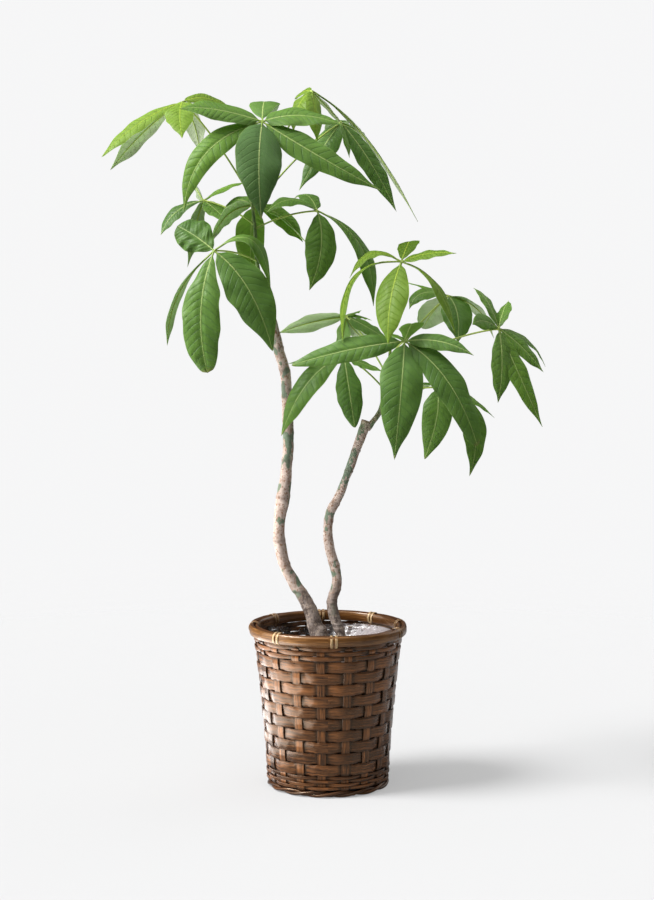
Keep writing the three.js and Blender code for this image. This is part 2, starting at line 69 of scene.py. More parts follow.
class Value:
    """A shader socket that takes part in Python arithmetic."""

    def __init__(self, graph: Graph, socket: bpy.types.NodeSocket) -> None:
        """Wraps a socket of a graph's node."""
        self.graph = graph
        self.socket = socket

    def __add__(self, other: Value | float) -> Value:
        """Sum."""
        return self.graph.maths("ADD", self, other)

    __radd__ = __add__

    def __sub__(self, other: Value | float) -> Value:
        """Difference."""
        return self.graph.maths("SUBTRACT", self, other)

    def __rsub__(self, other: float) -> Value:
        """Difference with a number on the left."""
        return self.graph.maths("SUBTRACT", other, self)

    def __mul__(self, other: Value | float) -> Value:
        """Product."""
        return self.graph.maths("MULTIPLY", self, other)

    __rmul__ = __mul__

    def __pow__(self, other: float) -> Value:
        """Power."""
        return self.graph.maths("POWER", self, other)

    def __abs__(self) -> Value:
        """Size without sign."""
        return self.graph.maths("ABSOLUTE", self)


class Graph:
    """The node tree of one material or world."""

    def __init__(self, owner: bpy.types.Material | bpy.types.World) -> None:
        """Empties the owner's tree.

        Args:
            owner: the new material or world that the nodes are for.
        """
        owner.use_nodes = True
        self.owner = owner
        self.tree = owner.node_tree
        self.tree.nodes.clear()

    def node(self, kind: str, settings: dict | None = None, inputs: dict | None = None) -> bpy.types.Node:
        """Adds any node.

        Args:
            kind: the node's type.
            settings: what is set on the node first; "stops" holds a ramp's (place, colour) pairs.
            inputs: numbers, colours or Values, by the name or identifier of the socket.

        Returns:
            The node.
        """
        made = self.tree.nodes.new(kind)
        for key, value in (settings or {}).items():
            if key == "stops":
                self._stops(made.color_ramp, value)
            else:
                setattr(made, key, value)
        for key, value in (inputs or {}).items():
            socket = next(s for s in made.inputs if key in (s.identifier, s.name))
            if isinstance(value, Value):
                self.tree.links.new(value.socket, socket)
            else:
                socket.default_value = value
        return made

    @staticmethod
    def _stops(ramp: bpy.types.ColorRamp, stops: Sequence[tuple[float, Colour]]) -> None:
        """Fills a ramp.

        Args:
            ramp: the new ramp.
            stops: its (place, colour) pairs.
        """
        while len(ramp.elements) < len(stops):
            ramp.elements.new(1.0)
        for element, (place, colour) in zip(ramp.elements, stops):
            element.position = place
            element.color = (*colour, 1.0)

    def maths(self, operation: str, a: Value | float, b: Value | float = 0.0) -> Value:
        """Adds a Math node.

        Args:
            operation: what it works out.
            a: its first socket.
            b: its second socket.

        Returns:
            The result.
        """
        made = self.node("ShaderNodeMath", {"operation": operation})
        for socket, value in zip(made.inputs, (a, b)):
            if isinstance(value, Value):
                self.tree.links.new(value.socket, socket)
            else:
                socket.default_value = value
        return Value(self, made.outputs[0])

    def step(self, value: Value, low: float, high: float) -> Value:
        """Adds a smooth step.

        Args:
            value: what is stepped.
            low: where the result is 0.
            high: where it is 1.

        Returns:
            The result.
        """
        settings = {"interpolation_type": "SMOOTHSTEP"}
        limits = {"Value": value, "From Min": low, "From Max": high}
        return Value(self, self.node("ShaderNodeMapRange", settings, limits).outputs[0])

    def mix(self, factor: Value, a: Value | Colour, b: Value | Colour) -> Value:
        """Mixes two colours.

        Args:
            factor: how much of the second is taken, from 0 to 1.
            a: the first colour.
            b: the second colour.

        Returns:
            The mixed colour.
        """
        ends = [v if isinstance(v, Value) else (*v, 1.0) for v in (a, b)]
        sockets = {"Factor_Float": factor, "A_Color": ends[0], "B_Color": ends[1]}
        made = self.node("ShaderNodeMix", {"data_type": "RGBA"}, sockets)
        return Value(self, next(s for s in made.outputs if s.identifier == "Result_Color"))

    def ramp(self, factor: Value, stops: Sequence[tuple[float, Colour]]) -> Value:
        """A colour ramp of (place, colour) pairs."""
        made = self.node("ShaderNodeValToRGB", {"stops": stops}, {"Fac": factor})
        return Value(self, made.outputs["Color"])

    def scaled(self, vector: Value, scale: Point) -> Value:
        """A vector times a scale on each axis."""
        inputs = {"Vector": vector, "Vector_001": scale}
        return Value(self, self.node("ShaderNodeVectorMath", {"operation": "MULTIPLY"}, inputs).outputs[0])

    def noise(self, vector: Value, scale: float, detail: float = 3.0, rough: float = 0.55) -> Value:
        """Noise from about 0.3 to 0.7."""
        inputs = {"Vector": vector, "Scale": scale, "Detail": detail, "Roughness": rough}
        return Value(self, self.node("ShaderNodeTexNoise", None, inputs).outputs["Fac"])

    def cells(self, vector: Value, scale: float, feature: str = "DISTANCE_TO_EDGE") -> Value:
        """Distance within a Voronoi pattern."""
        made = self.node("ShaderNodeTexVoronoi", {"feature": feature}, {"Vector": vector, "Scale": scale})
        return Value(self, made.outputs["Distance"])

    def place(self) -> Value:
        """Object coordinates."""
        return Value(self, self.node("ShaderNodeTexCoord").outputs["Object"])

    def uv(self) -> Value:
        """The piece's own map: metres along and across its surface."""
        return Value(self, self.node("ShaderNodeUVMap", {"uv_map": "metres"}).outputs[0])

    def parts(self, vector: Value) -> tuple[Value, Value, Value]:
        """The three components of a vector or colour."""
        made = self.node("ShaderNodeSeparateXYZ", None, {"Vector": vector})
        return tuple(Value(self, s) for s in made.outputs)

    def marks(self) -> tuple[Value, Value, Value]:
        """The three channels of the piece's own attribute."""
        made = self.node("ShaderNodeAttribute", {"attribute_name": "marks"})
        return self.parts(Value(self, made.outputs["Color"]))

    def bump(self, height: Value, distance: float, strength: float) -> Value:
        """A bump from a height."""
        inputs = {"Height": height, "Distance": distance, "Strength": strength}
        return Value(self, self.node("ShaderNodeBump", None, inputs).outputs[0])

    def surface(self, inputs: dict) -> bpy.types.Node:
        """A Principled shader."""
        return self.node("ShaderNodeBsdfPrincipled", None, inputs)

    def finish(self, shader: bpy.types.Node, output: str = "ShaderNodeOutputMaterial") -> bpy.types.ID:
        """Joins a shader to the output.

        Args:
            shader: the finished shader.
            output: the type of the output node.

        Returns:
            The material or world.
        """
        out = self.node(output)
        self.tree.links.new(shader.outputs[0], out.inputs["Surface"])
        return self.owner

    def blended(self, factor: Value, a: bpy.types.Node, b: bpy.types.Node) -> bpy.types.Node:
        """Mixes two shaders.

        Args:
            factor: how much of the second is taken, from 0 to 1.
            a: the first shader.
            b: the second shader.

        Returns:
            The mix.
        """
        made = self.node("ShaderNodeMixShader", None, {"Fac": factor})
        self.tree.links.new(a.outputs[0], made.inputs[1])
        self.tree.links.new(b.outputs[0], made.inputs[2])
        return made


# ---------------------------------------------------------------- finishes


@dataclass(frozen=True)
class StripFinish:
    """Stained split strip or cane with long grain, a soft sheen, edges darkened partly by stain and partly
    by painted shade where rows meet, and painted shade where it passes behind other pieces.
    """

    name: str
    dark: Colour
    light: Colour
    roughness: float = 0.31
    grain_pitch: float = 0.0011
    edge_darkening: float = 0.55
    coat: float = 0.26
    # colour of the painted shade where the piece passes behind another
    crevice_shade: Colour = (0.014, 0.006, 0.003)
    gleam: Colour = (1.0, 0.70, 0.44)
    grain_length: float = 0.05
    fibre_length: float = 0.012
    streak_size: Pair = (0.07, 0.0042)

    def material(self) -> bpy.types.Material:
        """Builds the finish.

        Returns:
            The material.
        """
        g = Graph(bpy.data.materials.new(self.name))
        across, tone, tucked_shade = g.marks()
        grain = g.noise(g.scaled(g.uv(), (1 / self.grain_length, 1 / self.grain_pitch, 1.0)), 1.0, 4.0, 0.6)
        fibres = g.noise(g.scaled(g.uv(), (1 / self.fibre_length, 3 / self.grain_pitch, 1.0)), 1.0, 2.0)
        patch = g.noise(g.place(), 26.0, 2.0)
        length, width = self.streak_size
        streak = g.noise(g.scaled(g.uv(), (1 / length, 1 / width, 1.0)), 1.0, 2.0, 0.7)
        # Darker towards the edges: partly stain gathered there, partly painted shade where rows meet.
        edge = g.step(across, 0.66, 1.0) * self.edge_darkening
        shade = tone * 0.55 + (patch - 0.5) * 0.3 + (grain - 0.5) * 1.9 + (streak - 0.5) * 0.8 + 0.10
        colour = g.mix(g.step(shade, 0.0, 1.0), self.dark, self.light)
        colour = g.mix(g.step(fibres, 0.56, 0.72) * 0.35, colour, self.dark)
        colour = g.mix(edge, colour, self.dark)
        # Painted shade where the strip passes behind a stake or row.
        colour = g.mix(tucked_shade * 0.85, colour, self.crevice_shade)
        rough = (fibres - 0.5) * 0.35 + (patch - 0.5) * 0.3 + self.roughness
        normal = g.bump(grain + fibres * 0.4, 0.00035, 0.7)
        return g.finish(g.surface({
            "Base Color": colour, "Roughness": rough, "Normal": normal,
            "Coat Weight": self.coat, "Coat Roughness": 0.16, "Specular IOR Level": 0.60,
            "Specular Tint": (*self.gleam, 1.0),
        }))


@dataclass(frozen=True)
class BarkFinish:
    """Bark that runs from grey-brown at the soil through tan to the green skin of the shoots."""

    name: str
    green_from: float
    green_full: float
    low_heights: Pair = (0.34, 0.40)
    low_bark: tuple[Colour, Colour] = ((0.070, 0.053, 0.046), (0.310, 0.252, 0.222))
    pale_ring: Colour = (0.680, 0.570, 0.490)
    specks: tuple[Colour, Colour] = ((0.290, 0.155, 0.090), (0.430, 0.335, 0.265))
    moss: Colour = (0.115, 0.200, 0.125)
    knot: Colour = (0.120, 0.080, 0.060)
    green_skin: tuple[Colour, Colour] = ((0.085, 0.150, 0.040), (0.215, 0.300, 0.100))
    sawn_wood: Colour = (0.300, 0.225, 0.160)

    def material(self) -> bpy.types.Material:
        """Builds the finish.

        Returns:
            The material.
        """
        g = Graph(bpy.data.materials.new(self.name))
        place = g.place()
        _, _, z = g.parts(place)
        knot, cut, _ = g.marks()
        flakes = g.noise(g.scaled(place, (1.0, 1.0, 0.55)), 130.0, 7.0, 0.75)
        patches = g.noise(g.scaled(place, (1.0, 1.0, 0.6)), 44.0, 3.0)
        rings = g.noise(g.scaled(place, (0.35, 0.35, 3.2)), 60.0, 4.0)
        specks = g.noise(place, 230.0, 3.0, 0.65)
        colour = g.ramp(flakes, (
            (0.30, (0.250, 0.160, 0.120)), (0.40, (0.430, 0.310, 0.245)),
            (0.47, (0.580, 0.450, 0.380)), (0.64, (0.690, 0.570, 0.495)),
        ))
        flaky = g.step(flakes, 0.42, 0.62)
        low = 1.0 - g.step(z + (patches - 0.5) * 0.16, *self.low_heights)
        colour = g.mix(low * 0.85, colour, g.mix(flaky, *self.low_bark))
        colour = g.mix(g.step(rings, 0.60, 0.66) * 0.55, colour, self.pale_ring)
        colour = g.mix(g.step(specks, 0.55, 0.59), colour, g.mix(low, *self.specks))
        mottle = patches + (flakes - 0.5) * 0.35 + g.step(z, 0.48, 0.60) * 0.07
        moss = g.step(mottle, 0.580, 0.605)
        colour = g.mix(moss * (1.0 - low) * 0.85, colour, self.moss)
        colour = g.mix(knot * 0.55, colour, self.knot)
        young = g.step(z + (patches - 0.5) * 0.12, self.green_from, self.green_full)
        colour = g.mix(young, colour, g.mix(flaky, *self.green_skin))
        colour = g.mix(cut, colour, self.sawn_wood)
        height = flakes * 0.8 + rings * 0.5 - knot * 0.4
        rough = 0.86 - young * 0.36
        normal = g.bump(height, 0.0009, 0.7)
        return g.finish(g.surface({"Base Color": colour, "Roughness": rough, "Normal": normal}))


@dataclass(frozen=True)
class LeafFinish:
    """A leaf's upper or under skin, with a pale midrib, side veins darkened by painted shade in their
    creases, and a waxy sheen.
    """

    name: str
    dark: Colour
    light: Colour
    vein: Colour
    through: Colour
    roughness: float
    glow: float
    vein_strength: float
    coat: float
    dry_tip: Colour = (0.30, 0.20, 0.08)
    midrib_edge: Pair = (0.0006, 0.0015)

    def material(self) -> bpy.types.Material:
        """Builds the finish.

        Returns:
            The material.
        """
        g = Graph(bpy.data.materials.new(self.name))
        count, across, _ = g.parts(g.uv())
        reach, edge, tone = g.marks()
        saw = abs(g.maths("FRACT", count) - 0.5) * 2.0
        veins = g.step(saw, 0.80, 1.0) * (1.0 - g.step(edge, 0.78, 1.0))
        midrib = 1.0 - g.step(abs(across) + reach * 0.0007, *self.midrib_edge)
        cloud = g.noise(g.place(), 24.0, 3.0)
        mesh = g.cells(g.place(), 420.0)
        # Darker along the side veins: painted shade in their sunken creases.
        depth = tone + (cloud - 0.5) * 0.30 - veins * 0.30
        colour = g.mix(g.step(depth, 0.0, 1.0), self.dark, self.light)
        colour = g.mix(g.step(mesh, 0.12, 0.0) * 0.10, colour, self.vein)
        colour = g.mix(veins * self.vein_strength, colour, self.vein)
        colour = g.mix(g.step(edge, 0.965, 1.0) * 0.30, colour, self.vein)
        tip = g.step(reach, 0.955, 1.0) * g.step(cloud, 0.45, 0.6) * 0.6
        colour = g.mix(tip, colour, self.dry_tip)
        colour = g.mix(midrib, colour, self.vein)
        rough = (cloud - 0.5) * 0.25 + self.roughness
        normal = g.bump(midrib * 0.5 - veins + mesh * 0.02, 0.0008, 0.7)
        skin = g.surface({
            "Base Color": colour, "Roughness": rough, "Normal": normal,
            "Coat Weight": self.coat, "Coat Roughness": 0.30, "Specular IOR Level": 0.24,
        })
        through = g.node("ShaderNodeBsdfTranslucent", None, {"Color": (*self.through, 1.0)})
        return g.finish(g.blended(tone * 0.32 + self.glow, skin, through))


@dataclass(frozen=True)
class StalkFinish:
    """The smooth skin of a leaf stalk and of the ribs under its leaflets."""

    name: str
    low: Colour
    high: Colour

    def material(self) -> bpy.types.Material:
        """Builds the finish.

        Returns:
            The material.
        """
        g = Graph(bpy.data.materials.new(self.name))
        reach, _, tone = g.marks()
        streak = g.noise(g.scaled(g.uv(), (1 / 0.03, 1 / 0.0008, 1.0)), 1.0, 3.0)
        shade = reach * 0.6 + tone * 0.6 + (streak - 0.5) * 0.8
        colour = g.mix(g.step(shade, 0.0, 1.0), self.low, self.high)
        normal = g.bump(streak, 0.0003, 0.5)
        return g.finish(g.surface({"Base Color": colour, "Roughness": 0.42, "Normal": normal}))


@dataclass(frozen=True)
class FilmFinish:
    """Thin clear plastic film that shows by its gleams."""

    name: str
    body: float = 0.08
    sheer: Colour = (0.300, 0.290, 0.290)
    gathered: Colour = (0.430, 0.385, 0.390)

    def material(self) -> bpy.types.Material:
        """Builds the finish.

        Returns:
            The material.
        """
        g = Graph(bpy.data.materials.new(self.name))
        bunched, _, _ = g.marks()
        crease = g.noise(g.place(), 60.0, 3.0)
        folds = g.noise(g.scaled(g.place(), (0.45, 1.0, 2.4)), 42.0, 2.0)
        # Narrow lines along the fold crests; where the film bunches they turn milky, painted gleams on its
        # folds.
        ridge = 1.0 - g.step(abs(folds - 0.5), 0.0, 0.045)
        gloss = g.surface({
            "Base Color": g.mix(bunched, self.sheer, self.gathered),
            "Roughness": bunched * 0.14 + 0.16, "Specular IOR Level": 1.0,
            "Normal": g.bump(crease * (1.0 - bunched * 0.7) + folds * 1.5, 0.004, 0.4),
        })
        clear = g.node("ShaderNodeBsdfTransparent")
        grazing = Value(g, g.node("ShaderNodeLayerWeight", None, {"Blend": 0.30}).outputs["Fresnel"])
        # Milky where the film bunches: partly whitened crumples, partly painted gleams along the fold
        # crests.
        haze_and_gleam = bunched * (g.step(crease, 0.40, 0.75) * 0.45 + ridge * 0.45)
        return g.finish(g.blended(grazing * 0.60 + haze_and_gleam + self.body, clear, gloss))


@dataclass(frozen=True)
class SoilFinish:
    """Loose dark soil with lighter fibres."""

    name: str

    def material(self) -> bpy.types.Material:
        """Builds the finish.

        Returns:
            The material.
        """
        g = Graph(bpy.data.materials.new(self.name))
        grit = g.noise(g.place(), 240.0, 6.0, 0.7)
        lumps = g.cells(g.place(), 150.0, "F1")
        colour = g.ramp(grit, (
            (0.30, (0.010, 0.007, 0.005)), (0.50, (0.040, 0.026, 0.017)),
            (0.62, (0.110, 0.070, 0.042)), (0.74, (0.260, 0.180, 0.110)),
        ))
        normal = g.bump(grit + lumps, 0.003, 0.9)
        return g.finish(g.surface({"Base Color": colour, "Roughness": 0.93, "Normal": normal}))


@dataclass(frozen=True)
class PotFinish:
    """Moulded nursery plastic with a fine grain and a few dry watermarks."""

    name: str

    def material(self) -> bpy.types.Material:
        """Builds the finish.

        Returns:
            The material.
        """
        g = Graph(bpy.data.materials.new(self.name))
        grain = g.noise(g.place(), 900.0, 2.0)
        marks = g.noise(g.place(), 30.0, 5.0, 0.65)
        colour = g.mix(g.step(marks, 0.52, 0.7) * 0.5, (0.020, 0.019, 0.018), (0.085, 0.080, 0.072))
        rough = 0.5 + g.step(marks, 0.5, 0.7) * 0.2
        normal = g.bump(grain, 0.0003, 0.4)
        return g.finish(g.surface({"Base Color": colour, "Roughness": rough, "Normal": normal}))


@dataclass(frozen=True)
class StudioFinish:
    """The pale floor, which fades into the pale background round it."""

    name: str
    colour: Colour
    lift: float
    solid_radius: float
    fade_radius: float

    def material(self) -> bpy.types.Material:
        """Builds the finish.

        Returns:
            The material.
        """
        g = Graph(bpy.data.materials.new(self.name))
        x, y, _ = g.parts(g.place())
        away = (x * x + y * y) ** 0.5
        haze = g.noise(g.place(), 3.0, 2.0)
        colour = g.mix(haze * 0.2, self.colour, tuple(0.99 * c for c in self.colour))
        seen = Value(g, g.node("ShaderNodeLightPath").outputs["Is Camera Ray"])
        floor = g.surface({
            "Base Color": colour, "Roughness": 0.9, "Specular IOR Level": 0.0,
            "Emission Color": g.mix(seen, (0.0, 0.0, 0.0), (self.lift,) * 3), "Emission Strength": 1.0,
        })
        gone = g.node("ShaderNodeBsdfTransparent")
        return g.finish(g.blended(g.step(away, self.solid_radius, self.fade_radius), floor, gone))


class Finish(Enum):
    """Every finish on the object, made once."""

    STRIP = StripFinish("stained_split_strip", (0.026, 0.008, 0.003), (0.370, 0.140, 0.043))
    CANE = StripFinish(
        "stained_thin_cane", (0.026, 0.008, 0.003), (0.370, 0.140, 0.043), grain_pitch=0.0008)
    HOOP = StripFinish(
        "varnished_rim_cane", (0.075, 0.026, 0.006), (0.370, 0.170, 0.044),
        roughness=0.34, grain_pitch=0.0024, edge_darkening=0.10, coat=0.5)
    BINDING = StripFinish(
        "pale_binding_cane", (0.130, 0.058, 0.020), (0.760, 0.560, 0.300),
        roughness=0.42, grain_pitch=0.0007, edge_darkening=0.10, coat=0.4)
    FILM = FilmFinish("thin_clear_film")
    POT = PotFinish("nursery_plastic")
    SOIL = SoilFinish("loose_dark_soil")
    BARK_LEFT = BarkFinish("bark_left", 0.84, 0.94)
    BARK_RIGHT = BarkFinish("bark_right", 0.66, 0.74)
    LEAF_TOP = LeafFinish(
        "leaf_upper_skin", (0.078, 0.166, 0.048), (0.280, 0.455, 0.050), (0.600, 0.720, 0.260),
        (0.50, 0.82, 0.16), roughness=0.46, glow=0.23, vein_strength=0.03, coat=0.10)
    LEAF_UNDER = LeafFinish(
        "leaf_under_skin", (0.250, 0.360, 0.180), (0.800, 0.860, 0.640), (0.600, 0.700, 0.400),
        (0.52, 0.80, 0.22), roughness=0.55, glow=0.12, vein_strength=0.20, coat=0.0)
    LEAF_YOUNG = LeafFinish(
        "young_upper_skin", (0.080, 0.185, 0.004), (0.285, 0.400, 0.070), (0.560, 0.700, 0.080),
        (0.46, 0.68, 0.12), roughness=0.50, glow=0.20, vein_strength=0.03, coat=0.05)
    STALK = StalkFinish("green_stalk", (0.190, 0.310, 0.045), (0.500, 0.620, 0.130))
    FLOOR = StudioFinish("pale_floor", (0.320, 0.320, 0.322), lift=0.34, solid_radius=1.0, fade_radius=3.0)

    def material(self) -> bpy.types.Material:
        """The finish's material, built on first use."""
        return bpy.data.materials.get(self.value.name) or self.value.material()


# ---------------------------------------------------------------- modelling


def ripples(points: Array, wavelength: float, seed: int, waves: int = 7) -> Array:
    """Smooth uneven bumps from a few waves in seeded directions.

    Args:
        points: places, one row each.
        wavelength: the usual distance between bumps.
        seed: picks the waves.
        waves: how many are added.

    Returns:
        A height for each point, mostly from -1 to 1.
    """
    draw = np.random.default_rng(seed)
    ways = draw.normal(size=(waves, 3))
    ways /= np.linalg.norm(ways, axis=1, keepdims=True)
    turns = 2 * math.pi / (wavelength * draw.uniform(0.7, 1.5, waves))
    phases = draw.uniform(0, 2 * math.pi, waves)
    return np.sin(points @ ways.T * turns + phases).sum(axis=1) / math.sqrt(waves)


def around(bearing: Array, radius: Array, z: Array) -> Array:
    """Points at bearings in degrees, radii and heights round the basket's axis."""
    a = np.radians(bearing)
    return np.stack(np.broadcast_arrays(radius * np.sin(a), -radius * np.cos(a), z), axis=-1)


def smooth_step(value: Array, low: float, high: float) -> Array:
    """0 below low, 1 above high, smooth between."""
    t = np.clip((value - low) / (high - low), 0, 1)
    return t * t * (3 - 2 * t)


class Workshop:
    """Modelling moves that every sub-assembly uses."""

    @staticmethod
    def clear() -> None:
        """Deselects everything."""
        bpy.ops.object.select_all(action="DESELECT")

    @staticmethod
    def pick(*pieces: Piece) -> None:
        """Selects these pieces alone and makes the first one active.

        Args:
            pieces: what is worked on next.
        """
        Workshop.clear()
        for piece in pieces:
            piece.select_set(True)
        bpy.context.view_layer.objects.active = pieces[0]

    @staticmethod
    def shares(columns: int, rows: int) -> tuple[Array, Array]:
        """The shares of a grid's vertices, in their order.

        Args:
            columns: the grid's cells along.
            rows: its cells across.

        Returns:
            The shares along and across, from 0 to 1.
        """
        along = np.tile(np.arange(columns + 1) / columns, rows + 1)
        return along, np.repeat(np.arange(rows + 1) / rows, columns + 1)

    @staticmethod
    def grid(name: str, columns: int, rows: int, place: Placer, size: Pair) -> Piece:
        """Adds a grid and moves each of its vertices to its place.

        Args:
            name: the piece's name.
            columns: cells along.
            rows: cells across.
            place: gives the places for shares along and across, each from 0 to 1.
            size: metres along and across, for the piece's own map.

        Returns:
            The new piece, an open sheet.
        """
        Workshop.clear()
        bpy.ops.mesh.primitive_grid_add(x_subdivisions=columns, y_subdivisions=rows, size=1.0)
        piece = bpy.context.object
        piece.name = name
        piece.data.name = name
        corners = np.empty(len(piece.data.vertices) * 3)
        piece.data.vertices.foreach_get("co", corners)
        share = corners.reshape(-1, 3)[:, :2] + 0.5
        piece.data.vertices.foreach_set("co", place(share[:, 0], share[:, 1]).astype(float).ravel())
        layer = piece.data.uv_layers[0]
        layer.name = "metres"
        spots = np.empty(len(layer.data) * 2)
        layer.data.foreach_get("uv", spots)
        layer.data.foreach_set("uv", (spots.reshape(-1, 2) * np.array(size)).ravel())
        piece.data.update()
        return piece

    @staticmethod
    def mark(piece: Piece, *channels: Array | float) -> None:
        """Writes the three channels that the finishes read.

        Args:
            piece: the new piece.
            channels: each a number, or one number for each vertex.
        """
        layer = piece.data.attributes.new("marks", "FLOAT_COLOR", "POINT")
        rows = np.ones((len(piece.data.vertices), 4))
        for i, channel in enumerate(channels):
            rows[:, i] = channel
        layer.data.foreach_set("color", rows.ravel())

    @staticmethod
    def seal(piece: Piece, ends: bool) -> Piece:
        """Closes a wrapped grid: merges its seam, fills its ends and turns its faces out.

        Args:
            piece: the wrapped grid.
            ends: True for a tube with two open ends to fill.

        Returns:
            The piece.
        """
        Workshop.pick(piece)
        bpy.ops.object.mode_set(mode="EDIT")
        bpy.ops.mesh.select_all(action="SELECT")
        bpy.ops.mesh.remove_doubles(threshold=MERGE)
        if ends:
            bpy.ops.mesh.select_all(action="DESELECT")
            bpy.ops.mesh.select_mode(type="EDGE")
            bpy.ops.mesh.select_non_manifold()
            bpy.ops.mesh.edge_face_add()
            bpy.ops.mesh.select_mode(type="VERT")
        bpy.ops.mesh.select_all(action="SELECT")
        bpy.ops.mesh.normals_make_consistent(inside=False)
        bpy.ops.object.mode_set(mode="OBJECT")
        return piece

    @staticmethod
    def modify(piece: Piece, kind: str, **settings: object) -> None:
        """Adds a modifier and applies it.

        Args:
            piece: what it changes.
            kind: the modifier's type.
            settings: its settings, by name.
        """
        Workshop.pick(piece)
        made = piece.modifiers.new(kind.lower(), kind)
        for key, value in settings.items():
            setattr(made, key, value)
        bpy.ops.object.modifier_apply(modifier=made.name)

    @staticmethod
    def joined(name: str, pieces: Sequence[Piece]) -> Piece:
        """Joins pieces into one.

        Args:
            name: the whole's name.
            pieces: one or more pieces.

        Returns:
            The whole.
        """
        Workshop.pick(*pieces)
        if len(pieces) > 1:
            bpy.ops.object.join()
        pieces[0].name = name
        pieces[0].data.name = name
        return pieces[0]

    @staticmethod
    def dress(piece: Piece, *finishes: Finish) -> None:
        """Gives a piece its finishes.

        Args:
            piece: what is dressed.
            finishes: one for each of its material slots.
        """
        piece.data.materials.clear()
        for finish in finishes:
            piece.data.materials.append(finish.material())

    @staticmethod
    def hand_over(piece: Piece, slot: str, *nodes: str, angle: float = 40.0) -> None:
        """Smooths a piece, rides it on the body, hides the frame's nodes that it replaces and logs its face
        count.

        Args:
            piece: the finished piece.
            slot: not used.
            nodes: the frame's nodes that it replaces.
            angle: edges sharper than this stay sharp, in degrees.
        """
        Workshop.pick(piece)
        bpy.ops.object.shade_smooth_by_angle(angle=math.radians(angle))
        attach(piece, BODY)
        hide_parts(*nodes)
        LOG.info("%s: %d faces", piece.name, len(piece.data.polygons))


@dataclass(frozen=True)
class Section:
    """A rounded-rectangle cross-section; a higher squareness gives sharper corners."""

    width: float
    thickness: float
    squareness: float
    crown: float = 0.0

    def at(self, share: Array) -> tuple[Array, Array]:
        """Offsets across the width and through the thickness.

        Args:
            share: how far round the section, from 0 to 1.

        Returns:
            The offset across and the offset outward, in metres.
        """
        a = 2 * math.pi * share
        power = 2 / self.squareness
        across = np.sign(np.cos(a)) * np.abs(np.cos(a)) ** power
        out = np.sign(np.sin(a)) * np.abs(np.sin(a)) ** power
        return across * self.width / 2, out * self.thickness / 2 - self.crown * across**2

    def edge(self, share: Array) -> Array:
        """How near the strip's edge, from 0 at its middle to 1."""
        return np.abs(self.at(share)[0]) / (self.width / 2)

    def girth(self) -> float:
        """Metres round the section."""
        return 2 * (self.width + self.thickness)


# ---------------------------------------------------------------- basket


@dataclass
class Wall:
    """The woven wall's middle surface."""

    foot_radius: float = 0.114
    shoulder_radius: float = 0.1395
    shoulder_z: float = 0.290
    flare: float = 1.35
    stakes: tuple[float, ...] = (
        -5.7, 16.0, 36.3, 56.0, 75.5, 95.5, 115.6, 135.6, 155.7, 175.7, 195.8, 215.8, 235.9, 255.9, 276.0,
        296.0, 313.5, 333.7,
    )

    def radius(self, z: Array | float) -> Array:
        """The wall's radius at a height."""
        share = np.clip(z, 0, None) / self.shoulder_z
        return self.foot_radius + (self.shoulder_radius - self.foot_radius) * share**self.flare

    def swing(self, bearing: Array, phase: int) -> Array:
        """How far a woven row swings at a bearing.

        Args:
            bearing: degrees from the front.
            phase: the row's number; even and odd rows swing opposite ways.

        Returns:
            1 where it lies in front of a stake, -1 where it lies behind one.
        """
        ring = (*self.stakes, self.stakes[0] + 360)
        count = np.interp((bearing - ring[0]) % 360 + ring[0], ring, np.arange(len(ring)))
        wave = np.cos(math.pi * (count + phase + 1))
        return wave * (1.6 - 0.6 * wave**2)


@dataclass
class WovenRow:
    """One strip or cane woven round the stakes."""

    wall: Wall
    name: str
    z: float
    section: Section
    phase: int
    finish: Finish
    slot: str
    tone: float
    seed: int
    reach: float = 0.0019
    tucked_shade: Pair = (0.70, 1.0)
    columns: int = 300
    sides: int = 14

    def build(self) -> None:
        """Weaves the row."""
        def place(along: Array, round_it: Array) -> Array:
            """Puts the strip on its winding path.

            Args:
                along: shares along the grid.
                round_it: shares across it.

            Returns:
                The places.
            """
            bearing = along * 360
            across, out = self.section.at(round_it)
            loop = around(bearing, 1.0, 0.0)
            drift = ripples(loop, 0.12, self.seed) * self.section.width * 0.022
            lean = ripples(loop, 0.10, self.seed + 40) * 0.05
            z = self.z + across + drift
            radius = self.wall.radius(z) + self.reach * self.wall.swing(bearing, self.phase)
            return around(bearing, radius + out + lean * across, z)

        length = 2 * math.pi * float(self.wall.radius(self.z))
        piece = Workshop.grid(self.name, self.columns, self.sides, place, (length, self.section.girth()))
        along, round_it = Workshop.shares(self.columns, self.sides)
        # Where the row passes behind a stake, which the finish paints as shade.
        tucked_shade = smooth_step(-self.wall.swing(along * 360, self.phase), *self.tucked_shade)
        Workshop.mark(piece, self.section.edge(round_it), self.tone, tucked_shade)
        Workshop.seal(piece, ends=False)
        Workshop.dress(piece, self.finish)
        Workshop.hand_over(piece, self.slot, self.name)


